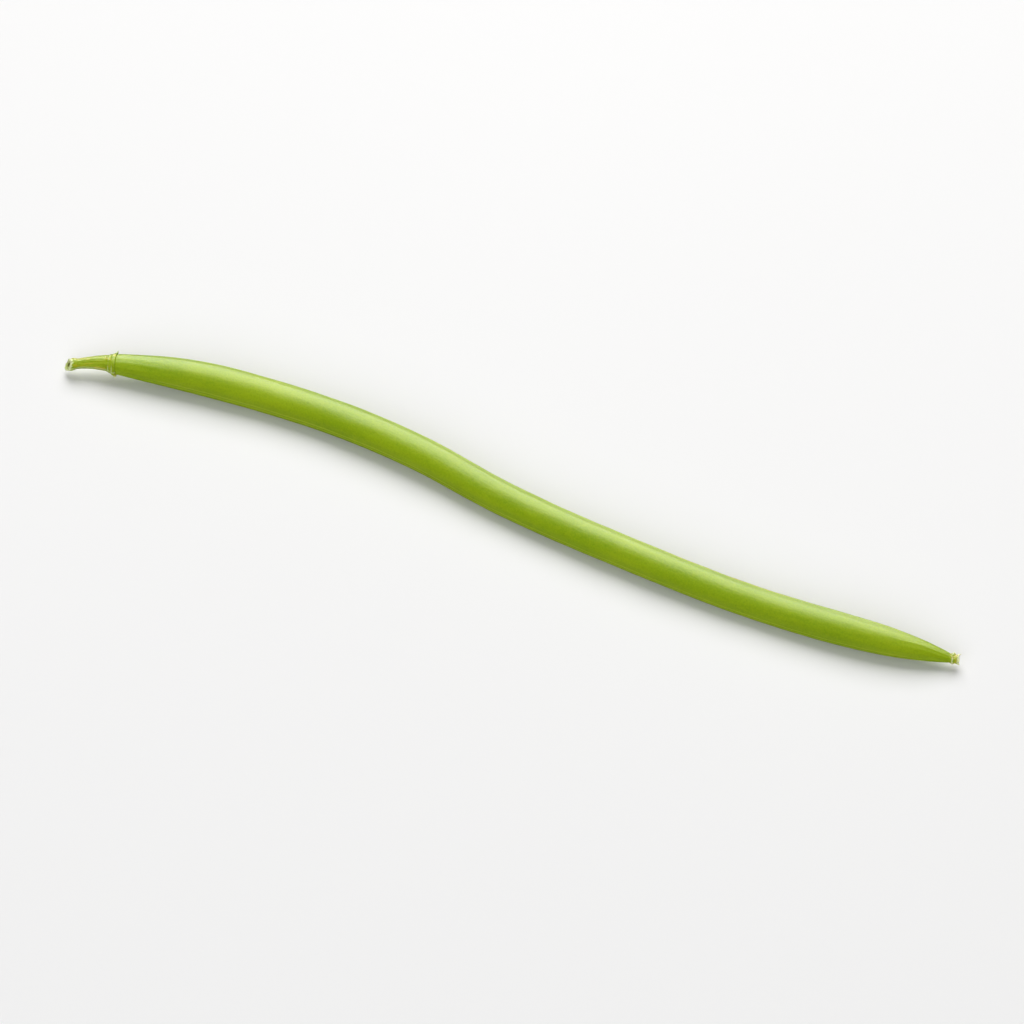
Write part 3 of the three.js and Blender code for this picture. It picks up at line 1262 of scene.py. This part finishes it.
@dataclass
class Pod:
    """The pod: its body, seams, swellings and the torn stub at its tip. Sizes are in mm."""

    spine: Spine
    skin: PodSkin = PodSkin()
    columns: int = 32
    ring_pitch: float = 0.86        # about how far each ring is from the next
    crowding: float = 0.45          # how far the columns crowd towards the seams
    sunk: float = 0.9               # how far the neck reaches into the calyx
    sunk_share: float = 0.8         # radius of the sunk end, as a share of the neck's
    sunk_bulge: float = 0.09        # how far the sunk end bulges
    neck_rings: Rings = ((-0.5, 0.99), (0.0, 1.0))      # shares of the sunk length and the radius
    ridges: tuple[SeamRidge, ...] = (
        SeamRidge(Seam.UPPER, 0.11, 0.04), SeamRidge(Seam.LOWER, 0.005, 0.065),
    )
    ridge_rise: Reach = (3.0, 12.0)
    ridge_fall: Reach = (138.0, 150.7)
    seed_count: int = 10
    seed_start: float = 20.0        # where the middle of the first seed lies
    seed_pitch: float = 11.6
    seed_swell: float = 0.09        # how far the cheeks swell over a seed
    ribs: Ribs = Ribs(13, 0.05, sway=Wander(0.0, 1.5, 6.0, 3.0))
    rib_strength: Wander = Wander(0.6, 0.4, 9.0)
    rib_sector: float = 0.5         # radians round the pod over which the ribs are alike
    neck_ribs: Reach = (2.0, 16.0)  # over which the ribs fade from the neck
    beak_ribs: Reach = (138.0, 149.0)   # and over which they come back
    unevenness: tuple[Unevenness, ...] = (Unevenness(0.06, 2.6, 1.7), Unevenness(0.018, 0.7, 1.3))
    stub_rings: Rings = (           # shares of the stub's length and of its radius
        (0.06, 0.95), (0.17, 0.92), (0.28, 1.02), (0.36, 1.22), (0.44, 1.2), (0.52, 0.98),
        (0.66, 0.88), (0.8, 0.95), (0.94, 1.08), (1.05, 1.06),
    )
    stub_hollow: float = 0.4
    hollow_rings: Rings = ((0.25, 0.8), (0.8, 0.45))    # shares of its depth and the stub's radius
    crown: TornRing = TornRing(0.4, 0.16, 0.09, 0.12)
    rim: TornRing = TornRing(1.0, 0.14, 0.1, 0.225)
    raggedness: Raggedness = Raggedness(0.6, 3, 0.5, (-1.0, 0.8))
    torn_from: float = 0.9          # radius from which the stub is torn, as a share of its own
    dry_crown: float = 0.13         # how far its dryness reaches, as a share of the stub's length
    dry_radii: Reach = (0.9, 1.15)  # as shares of the stub's radius
    dry_rim: Reach = (0.78, 0.95)   # as shares of its length
    seed: int = 11

    @property
    def stub_radius(self) -> float:
        """Radius of the pod where the stub starts."""
        return self.spine.radius(self.spine.body_end)

    def build(self) -> bpy.types.Object:
        """Model the straight pod.

        Returns:
            The pod, in mm.
        """
        spine, stub = self.spine, self.stub_radius
        neck = spine.radius(0.0)
        form = RingForm("bean_pod", self.columns, -self.sunk, self.sunk_share * neck)
        form.flatten(spine.flatness)
        self.crowd(form)
        for share, radius in self.neck_rings:
            form.grow(share * self.sunk, radius * neck)
        rings = round(spine.body_end / self.ring_pitch)
        for i in range(1, rings + 1):
            station = spine.body_end * i / rings
            form.grow(station, spine.radius(station))
        for share, radius in self.stub_rings:
            form.grow(spine.body_end + share * spine.stub_length, radius * stub)
        for share, radius in self.hollow_rings:
            form.grow(spine.pod_length - share * self.stub_hollow, radius * stub)
        form.close(spine.pod_length - self.stub_hollow - form.station)
        form.close_start(-self.sunk, -self.sunk_bulge)
        self.tear(form)
        pod = form.leave()
        mark_edge(pod, self.dryness)
        self.add_relief(pod)
        return pod

    def dress(self, pod: bpy.types.Object) -> None:
        """Give the pod its skin and its node."""
        stand_for("pod", pod, self.skin.material(self.spine))

    def column(self, k: int) -> float:
        """Give the angle of a column, crowded towards the seams."""
        angle = math.tau * k / self.columns
        return angle - self.crowding / 2 * math.sin(2 * angle)

    def turn(self, spot: Spot) -> float:
        """Give the angle of a spot as it would be on a round pod."""
        return math.atan2(spot.cheek / self.spine.flatness, spot.seam)

    def crowd(self, form: RingForm) -> None:
        """Move the points of the first ring towards the seams, along the ring.

        Args:
            form: The pod's form.
        """
        ring = [Spot(*vertex.co) for vertex in bmesh.from_edit_mesh(form.piece.data).verts]
        for place in ring:
            turned = self.column(self.turn(place) * self.columns / math.tau)
            seam, cheek = form.radius * math.cos(turned), form.radius * math.sin(turned)
            target = (place.station, seam, self.spine.flatness * cheek)
            move = (new - old for new, old in zip(target, place))
            form.nudge(lambda spot, at=place: math.dist(spot, at) < SAME_POINT, move)
        bpy.ops.mesh.select_all(action="SELECT")

    def tear(self, form: RingForm) -> None:
        """Tear the crown and the rim of the stub.

        Args:
            form: The pod's form.
        """
        draw = random.Random(self.seed)
        length = self.spine.stub_length
        inner = self.torn_from * self.stub_radius
        for k in range(self.columns):
            turned = self.column(k)
            for ring in (self.crown, self.rim):
                middle = self.spine.body_end + ring.share * length
                fold = self.raggedness.at(math.tau * k / self.columns, middle, draw)
                out = ring.fold * fold

                def at_ring(spot: Spot) -> bool:
                    """Say whether a spot is on this torn ring, at this column."""
                    near = abs(spot.station - middle) < ring.spread * length
                    return near and spot.radius > inner and same_column(self.turn(spot), turned)

                move = (ring.pull * fold, out * math.cos(turned), out * math.sin(turned))
                form.nudge(at_ring, move)

    def dryness(self, spot: Spot) -> float:
        """Say how dry the pod is: the stub's crown and rim are.

        Args:
            spot: A place on the pod.

        Returns:
            The dryness there, 0 to 1.
        """
        along = (spot.station - self.spine.body_end) / self.spine.stub_length
        crown = bell(along - self.crown.share, self.dry_crown)
        outside = smooth(spot.radius / self.stub_radius, *self.dry_radii)
        return max(crown * outside, smooth(along, *self.dry_rim))

    def add_relief(self, pod: bpy.types.Object) -> None:
        """Raise the swellings, the seams and the fine ribs of both ends, and roughen the skin.

        Args:
            pod: The straight pod.
        """
        raise_relief(pod, self.seed_swell, self.swellings)
        for ridge in self.ridges:
            raise_relief(pod, ridge.height, partial(self.on_seams, ridge.crests))
            raise_relief(pod, -ridge.depth, partial(self.on_seams, ridge.furrows))
        raise_relief(pod, self.ribs.height, self.ribbed)
        for unevenness in self.unevenness:
            unevenness.roughen(pod)

    def swellings(self, spot: Spot) -> float:
        """Weigh the swellings over the seeds.

        Args:
            spot: A place on the pod.

        Returns:
            Their weight there, 0 to 1. They start half a pitch before the first seed.
        """
        count = (spot.station - self.seed_start) / self.seed_pitch
        first = smooth(count, -0.5, 0.0)
        last = smooth(self.seed_count - 0.5 - count, 0.0, 0.5)
        return first * last * math.cos(math.pi * count) ** 2 * math.sin(spot.turn) ** 2

    def on_seams(self, weight: Weight, spot: Spot) -> float:
        """Weigh a line of a seam where the seams show.

        Args:
            weight: The line's own weight.
            spot: A place on the pod.

        Returns:
            The line's weight there, 0 to 1.
        """
        risen = smooth(spot.station, *self.ridge_rise)
        shown = risen * (1.0 - smooth(spot.station, *self.ridge_fall))
        return clamp(shown * weight(spot)) if shown > 0.0 else 0.0

    def ribbed(self, spot: Spot) -> float:
        """Weigh the fine ribs that run together at the neck and at the tip.

        Args:
            spot: A place on the pod.

        Returns:
            Their weight there, 0 to 1.
        """
        neck = 1.0 - smooth(spot.station, *self.neck_ribs)
        beak = smooth(spot.station, *self.beak_ribs)
        strength = self.rib_strength.at(spot.station, round(spot.turn / self.rib_sector))
        return clamp(max(neck, beak) * self.ribs.at(spot) * strength)


@dataclass
class Calyx:
    """The calyx: a flared cup with two fine ridges and four short teeth. Sizes are in mm."""

    spine: Spine
    # The calyx's skin has narrower painted highlight lines along its seams.
    skin: StemSkin = StemSkin(
        "calyx_skin", ochre_stains=Wash(0.62, 0.8, 0.9), painted_edge_highlight=Wash(0.2, 0.1, 0.38)
    )
    columns: int = 48
    rear: float = -2.3
    front: float = -0.55
    rear_radius: float = 1.36
    radius: float = 1.87            # of the front ridge
    flatness: float = 0.93          # of the cup between the cheeks, as a share of its width
    ridges: tuple[float, float] = (0.64, 1.32)      # from the rear end to either ridge
    # The rings of the outline, each as how far it lies past and inside a corner of the cup.
    first_ring: Ring = (-0.1, 0.12)
    rear_rings: Rings = ((0.02, 0.09), (0.3, -0.07))
    rear_ridge_rings: Rings = ((-0.12, 0.38), (0.0, 0.27), (0.1, 0.32), (0.3, 0.25))
    front_ridge_rings: Rings = ((-0.22, 0.15), (-0.1, 0.1), (0.0, 0.0), (0.1, 0.06), (0.24, 0.06))
    rim_rings: Rings = (
        (-0.1, 0.08), (-0.02, 0.1), (0.02, 0.13), (-0.08, 0.16), (-0.35, 0.26), (-0.6, 0.5),
    )
    closing: float = 0.05           # how far behind its last ring either end is drawn together
    tooth_length: float = 0.12      # how far a tooth is drawn forwards
    tooth_flare: float = 0.5        # how far it is bent outwards
    tooth_sizes: tuple[float, ...] = (0.95, 0.15, 0.55, 0.25)       # from the upper seam round
    tooth_turn: float = 0.08        # where the first tooth stands, in radians from the upper seam
    tooth_chance: float = 0.08      # the most that chance adds to a tooth
    # Two stretches of the rim, each from and to past the front end, and the share it moves.
    tooth_bands: tuple[tuple[float, float, float], ...] = ((-0.25, -0.1, 0.4), (-0.1, 0.1, 1.0))
    rim_depth: float = 0.14         # how far inside the front ridge the rim still moves
    droop: float = 0.2              # how much further the cup flares below than above
    droop_turn: float = 3.2         # where it flares most, in radians from the upper seam
    droop_power: int = 4            # the higher, the narrower the part that droops
    droop_radii: Reach = (1.1, 1.3)     # so that what lies inside the cup stays
    droop_start: float = 0.3        # from the rear end
    ribs: Ribs = Ribs(10, 0.06, start=0.8)
    rib_depth: float = 0.05         # how far inside the rear end's radius they still show
    rib_fade: Reach = (0.4, 1.2)    # from the rear end
    unevenness: Unevenness = Unevenness(0.05, 0.7)
    dry_crests: float = 0.5         # how dry the crests of the ridges are
    dry_rim: float = 0.4
    dry_teeth: float = 0.8
    crest_spread: float = 0.06      # how far along the calyx a crest is dry
    crest_radii: Reach = (-0.5, -0.35)      # from the front ridge's radius, as are the teeth's
    tooth_radii: Reach = (0.0, 0.12)
    rim_reach: Reach = (-0.05, 0.1)         # from the front end
    dry_patches: Wander = Wander(0.6, 0.5, 0.325, 9.0)      # round the crests
    seed: int = 5

    def build(self) -> bpy.types.Object:
        """Model the straight calyx.

        Returns:
            The calyx, in mm.
        """
        past, inside = self.first_ring
        start = self.rear + past
        first, second = (self.rear + ridge for ridge in self.ridges)
        form = RingForm("bean_calyx", self.columns, start, self.rear_radius - inside)
        for corner, radius, rings in (
            (self.rear, self.rear_radius, self.rear_rings),
            (first, self.radius, self.rear_ridge_rings),
            (second, self.radius, self.front_ridge_rings),
            (self.front, self.radius, self.rim_rings),
        ):
            for past, inside in rings:
                form.grow(corner + past, radius - inside)
        form.close(-self.closing)
        form.close_start(start, -self.closing)
        self.draw_teeth(form)
        form.flatten(self.flatness, first)
        calyx = form.leave()
        mark_edge(calyx, self.dryness)
        raise_relief(calyx, self.ribs.height, self.ribbed)
        raise_relief(calyx, self.droop, self.drooping)
        self.unevenness.roughen(calyx)
        return calyx

    def dress(self, calyx: bpy.types.Object) -> None:
        """Give the calyx its skin and its node."""
        stand_for("calyx", calyx, self.skin.material())

    def draw_teeth(self, form: RingForm) -> None:
        """Draw the rim out into teeth.

        Args:
            form: The calyx's form.
        """
        draw = random.Random(self.seed)
        count = len(self.tooth_sizes)
        inner = self.radius - self.rim_depth
        for k in range(self.columns):
            angle = math.tau * k / self.columns
            turn = count * (angle - self.tooth_turn)
            size = self.tooth_sizes[round(turn / math.tau) % count]
            tooth = size * max(0.0, math.cos(turn)) ** 2 + self.tooth_chance * draw.random()
            for low, high, share in self.tooth_bands:
                flare = share * self.tooth_flare * tooth

                def on_rim(spot: Spot) -> bool:
                    """Say whether a spot is on this stretch of the rim, at this column."""
                    near = self.front + low < spot.station < self.front + high
                    return near and spot.radius > inner and same_column(spot.turn, angle)

                forward = share * self.tooth_length * tooth
                form.nudge(on_rim, (forward, flare * math.cos(angle), flare * math.sin(angle)))

    def dryness(self, spot: Spot) -> float:
        """Say how dry the calyx is: its rim, its teeth and the crests of its ridges are.

        Args:
            spot: A place on the calyx.

        Returns:
            The dryness there, 0 to 1.
        """
        from_rear, outwards = spot.station - self.rear, spot.radius - self.radius
        crest = max(bell(from_rear - ridge, self.crest_spread) for ridge in self.ridges)
        crest *= smooth(outwards, *self.crest_radii) * self.dry_patches.at(spot.turn)
        rim = smooth(spot.station - self.front, *self.rim_reach)
        tooth = smooth(outwards, *self.tooth_radii)
        return max(self.dry_crests * crest, self.dry_rim * rim, self.dry_teeth * tooth)

    def drooping(self, spot: Spot) -> float:
        """Weigh how far the cup stands off below.

        Args:
            spot: A place on the calyx.

        Returns:
            Its weight there, 0 to 1.
        """
        below = wave(spot.turn - self.droop_turn) ** self.droop_power
        outside = smooth(spot.radius, *self.droop_radii)
        return outside * below * smooth(spot.station, self.rear + self.droop_start, self.front)

    def ribbed(self, spot: Spot) -> float:
        """Weigh the low ribs that run on from the stem.

        Args:
            spot: A place on the calyx.

        Returns:
            Their weight there, 0 to 1.
        """
        if spot.radius <= self.rear_radius - self.rib_depth:
            return 0.0
        return self.ribs.at(spot) * (1.0 - smooth(spot.station - self.rear, *self.rib_fade))


@dataclass
class Stem:
    """The stem: ribbed, with a swollen end torn aslant and a hollow pith. Sizes are in mm."""

    spine: Spine
    skin: StemSkin = StemSkin("stem_skin")
    columns: int = 40
    length: float = 7.3             # from the torn end to the calyx
    root_radius: float = 1.38
    rooted: float = 0.28            # how far the root reaches into the calyx
    rooted_share: float = 0.93      # radius there, as a share of the root's
    root_bulge: float = 0.05        # how far the end of the root bulges
    waist_radius: float = 0.84
    knuckle_radius: float = 1.08
    knuckle_length: float = 0.9
    knuckle_place: float = 0.5      # from the end
    waist_place: float = 1.6
    taper_power: float = 1.5        # how late the stem widens towards its root
    lip_rings: Rings = (            # past the end, and shares of the knuckle's radius
        (0.08, 0.93), (0.0, 0.82), (0.04, 0.62),
    )
    pith_rings: Rings = ((0.14, 0.34), (0.36, 0.255))       # past the end, and radius
    pith_depth: float = 0.45
    ring_count: int = 26
    ring_inset: float = 0.05        # room for the ribs
    ribs: Ribs = Ribs(5, 0.075, start=0.8)
    rib_rise: Reach = (0.2, 1.4)    # from the end
    fibres: Ribs = Ribs(17, 0.02, sway=Wander(0.0, 1.2, 2.5, 5.0))
    fibres_from: float = 0.5        # radius where they start, as a share of the knuckle's
    unevenness: Unevenness = Unevenness(0.08, 0.6, 2.5)
    slant: float = 1.7              # how much shorter the torn end is on one side
    slant_turn: float = 1.35        # which side, in radians from the upper seam
    slant_fade: Reach = (0.3, 4.2)  # from the end
    end_reach: float = 0.3          # how far the long side runs past the end
    raggedness: Raggedness = Raggedness(0.12, 3, 1.0, (-0.1, 0.12))
    torn_fold: float = 0.5          # how far the torn rim folds out, as a share of its tears
    torn_length: float = 0.2        # how far from the end it is torn
    torn_from: float = 0.55         # radius from which it is torn, as a share of the knuckle's
    dry_start: float = 0.1          # where the dry rim starts to fade, from the end
    dry_stop: Wander = Wander(0.5, 0.25, 1 / 3, 4.0)        # and where it has gone, round the stem
    dry_inside: float = 0.4         # how dry it is inside its rim
    dry_radii: Reach = (0.5, 0.8)   # as shares of the knuckle's radius
    seed: int = 23

    @property
    def root(self) -> float:
        """Station where the stem meets the calyx."""
        return self.spine.stem_end + self.length

    @property
    def end(self) -> float:
        """Station of the torn end's long side."""
        return self.spine.stem_end - self.end_reach

    def radius(self, station: float) -> float:
        """Give the stem's radius.

        Args:
            station: Where along the spine, in mm.

        Returns:
            The radius there, in mm.
        """
        from_end = station - self.spine.stem_end
        knuckle = bell(from_end - self.knuckle_place, self.knuckle_length)
        taper = ramp(from_end, self.waist_place, self.length, self.taper_power)
        swelling = (self.knuckle_radius - self.waist_radius) * knuckle
        return self.waist_radius + swelling + (self.root_radius - self.waist_radius) * taper

    def build(self) -> bpy.types.Object:
        """Model the straight stem.

        Returns:
            The stem, in mm.
        """
        end, root = self.end, self.root
        sunk = root + self.rooted
        form = RingForm("bean_stem", self.columns, sunk, self.rooted_share * self.root_radius)
        for i in range(self.ring_count + 1):
            station = lerp(root, self.spine.stem_end, i / self.ring_count)
            form.grow(station, self.radius(station) - self.ring_inset)
        for past, share in self.lip_rings:
            form.grow(end + past, share * self.knuckle_radius)
        for past, radius in self.pith_rings:
            form.grow(end + past, radius)
        form.close(end + self.pith_depth - form.station)
        form.close_start(sunk, self.root_bulge)
        self.tear(form)
        stem = form.leave()
        mark_edge(stem, self.dryness)
        raise_relief(stem, self.ribs.height, self.ribbed)
        raise_relief(stem, self.fibres.height, self.fibrous)
        self.unevenness.roughen(stem)
        raise_relief(stem, self.slant, self.aslant, "X")
        return stem

    def dress(self, stem: bpy.types.Object) -> None:
        """Give the stem its skin and its node."""
        stand_for("stem", stem, self.skin.material())

    def tear(self, form: RingForm) -> None:
        """Tear the end of the stem unevenly.

        Args:
            form: The stem's form.
        """
        draw = random.Random(self.seed)
        inner = self.torn_from * self.knuckle_radius
        for k in range(self.columns):
            angle = math.tau * k / self.columns
            torn = self.raggedness.at(angle, 0.0, draw)
            out = self.torn_fold * torn

            def at_end(spot: Spot) -> bool:
                """Say whether a spot is on the torn rim, at this column."""
                near = spot.station < self.end + self.torn_length
                return near and spot.radius > inner and same_column(spot.turn, angle)

            form.nudge(at_end, (-min(torn, 0.0), out * math.cos(angle), out * math.sin(angle)))

    def dryness(self, spot: Spot) -> float:
        """Say how dry the stem is: the torn rim is.

        Args:
            spot: A place on the stem.

        Returns:
            The dryness there, 0 to 1.
        """
        torn = 1.0 - smooth(spot.station - self.end, self.dry_start, self.dry_stop.at(spot.turn))
        outside = smooth(spot.radius / self.knuckle_radius, *self.dry_radii)
        return torn * lerp(self.dry_inside, 1.0, outside)

    def ribbed(self, spot: Spot) -> float:
        """Weigh the broad ribs."""
        return self.ribs.at(spot) * smooth(spot.station - self.end, *self.rib_rise)

    def fibrous(self, spot: Spot) -> float:
        """Weigh the fine fibres between the ribs."""
        inside = spot.radius < self.fibres_from * self.knuckle_radius
        return 0.0 if inside else self.fibres.at(spot)

    def aslant(self, spot: Spot) -> float:
        """Weigh how far the torn end falls back.

        Args:
            spot: A place on the stem.

        Returns:
            Its weight there, 0 to 1.
        """
        across = spot.seam * math.cos(self.slant_turn) + spot.cheek * math.sin(self.slant_turn)
        share = ramp(across, -self.knuckle_radius, self.knuckle_radius)
        return share * (1.0 - smooth(spot.station - self.end, *self.slant_fade))


# ---- The studio ---------------------------------------------------------------------------------


class LampUse(Enum):
    """What a lamp is for."""

    FORM = "form"        # it lights the matt part of every surface
    GLOSS = "gloss"      # only the gloss of the skins shows it


def direction(azimuth: float, elevation: float) -> Vector:
    """Give a direction.

    Args:
        azimuth: Its angle from +X towards +Y, in degrees.
        elevation: Its angle above the level, in degrees.

    Returns:
        A vector of length 1.
    """
    turn, rise = math.radians(azimuth), math.radians(elevation)
    level = math.cos(rise)
    return Vector((level * math.cos(turn), level * math.sin(turn), math.sin(rise)))


@dataclass(frozen=True)
class SoftLight:
    """A soft rectangular lamp that shines at the middle of the bean. Lengths are in metres."""

    name: str
    azimuth: float          # where it stands, in degrees
    elevation: float
    distance: float
    width: float
    depth: float
    power: float
    colour: Colour
    use: LampUse

    def build(self) -> None:
        """Hang the lamp."""
        lamp = bpy.data.lights.new(self.name, "AREA")
        lamp.shape = "RECTANGLE"
        lamp.size = self.width
        lamp.size_y = self.depth
        lamp.energy = self.power
        lamp.color = self.colour
        holder = bpy.data.objects.new(self.name, lamp)
        way = direction(self.azimuth, self.elevation)
        holder.location = way * self.distance
        holder.rotation_euler = way.to_track_quat("Z", "Y").to_euler()
        holder.visible_glossy = self.use is LampUse.GLOSS
        holder.visible_diffuse = self.use is LampUse.FORM
        bpy.context.collection.objects.link(holder)


@dataclass(frozen=True)
class Studio:
    """The pale table, its lamps and the camera."""

    table_size: float = 6.0             # in metres, as are all lengths here but the camera's own
    table_colour: Colour = (0.845, 0.845, 0.85)
    table_roughness: float = 0.9
    cloud_scale: float = 3.0            # clouds in a metre of the table
    cloud_depth: float = 0.015          # how much darker they are
    sky_colour: Colour = (0.92, 0.95, 1.0)
    sky_strength: float = 0.03
    camera_azimuth: float = -65.21      # where it stands, in degrees
    camera_elevation: float = 56.84
    camera_distance: float = 0.6254
    camera_aim: tuple[float, float, float] = (0.00243, -0.00278, 0.0029)
    camera_roll: float = -1.86          # in degrees
    lens: float = 132.5                 # in mm, as is the sensor
    sensor: float = 36.0
    sight: Reach = (0.01, 20.0)         # the nearest and the farthest that the camera shows
    lamps: tuple[SoftLight, ...] = (
        SoftLight("back_lamp", 108.0, 56.0, 1.05, 0.9, 0.9, 11.5, (1.0, 0.99, 0.97), LampUse.FORM),
        SoftLight("front_lamp", -85.0, 35.0, 1.4, 1.4, 0.9, 8.7, (0.98, 0.99, 1.0), LampUse.FORM),
        SoftLight("top_lamp", 0.0, 90.0, 1.5, 2.4, 2.4, 6.9, (1.0, 1.0, 1.0), LampUse.FORM),
        SoftLight(
            "sheen_lamp", 115.0, 42.0, 1.05, 1.6, 1.7, 98.0, (1.0, 0.94, 0.96), LampUse.GLOSS
        ),
    )

    def build(self) -> None:
        """Lay the table, hang the lamps and set the camera."""
        self.lay_table()
        for lamp in self.lamps:
            lamp.build()
        world = bpy.data.worlds.new("soft_sky")
        world.use_nodes = True
        sky = world.node_tree.nodes["Background"]
        sky.inputs["Color"].default_value = (*self.sky_colour, 1.0)
        sky.inputs["Strength"].default_value = self.sky_strength
        bpy.context.scene.world = world
        world.cycles_visibility.glossy = False
        bpy.context.scene.view_settings.view_transform = "Standard"
        self.set_camera()

    def lay_table(self) -> None:
        """Lay a plain pale table under the bean."""
        deselect_all()
        bpy.ops.mesh.primitive_plane_add(size=self.table_size)
        table = bpy.context.object
        table.name = "table"
        material, bench, shader = start_material("table_top")
        place = bench.put("TexCoord").outputs["Object"]
        darker = tuple((1.0 - self.cloud_depth) * part for part in self.table_colour)
        clouds = bench.noise(place, self.cloud_scale, detail=2.0)
        colour = bench.paint(self.table_colour, ((clouds, Wash(*NOISE_RANGE, 1.0), darker),))
        bench.feed(shader.inputs["Base Color"], colour)
        bench.feed(shader.inputs["Roughness"], self.table_roughness)
        bench.feed(shader.inputs["Specular IOR Level"], 0.0)
        table.data.materials.append(material)
        table.visible_glossy = False

    def set_camera(self) -> None:
        """Set the camera at its angle, looking at the bean."""
        lens = bpy.data.cameras.new("camera")
        lens.lens = self.lens
        lens.sensor_width = self.sensor
        lens.clip_start, lens.clip_end = self.sight
        camera = bpy.data.objects.new("camera", lens)
        back = direction(self.camera_azimuth, self.camera_elevation)
        camera.location = Vector(self.camera_aim) + back * self.camera_distance
        camera.rotation_euler = back.to_track_quat("Z", "Y").to_euler()
        camera.rotation_euler.rotate_axis("Z", math.radians(self.camera_roll))
        bpy.context.collection.objects.link(camera)
        bpy.context.scene.camera = camera


def main() -> None:
    """Build the bean and its studio, piece by piece."""
    logging.basicConfig(level=logging.INFO, format="%(message)s")
    spine = Spine()
    guide = spine.guide()
    for part in (Pod(spine), Calyx(spine), Stem(spine)):
        piece = part.build()
        bend_and_place(piece, spine, guide)
        part.dress(piece)
        mesh = piece.data
        LOG.info("%s: %d points, %d faces", piece.name, len(mesh.vertices), len(mesh.polygons))
    bpy.data.curves.remove(guide.data)
    Studio().build()


if __name__ == "__main__":
    main()
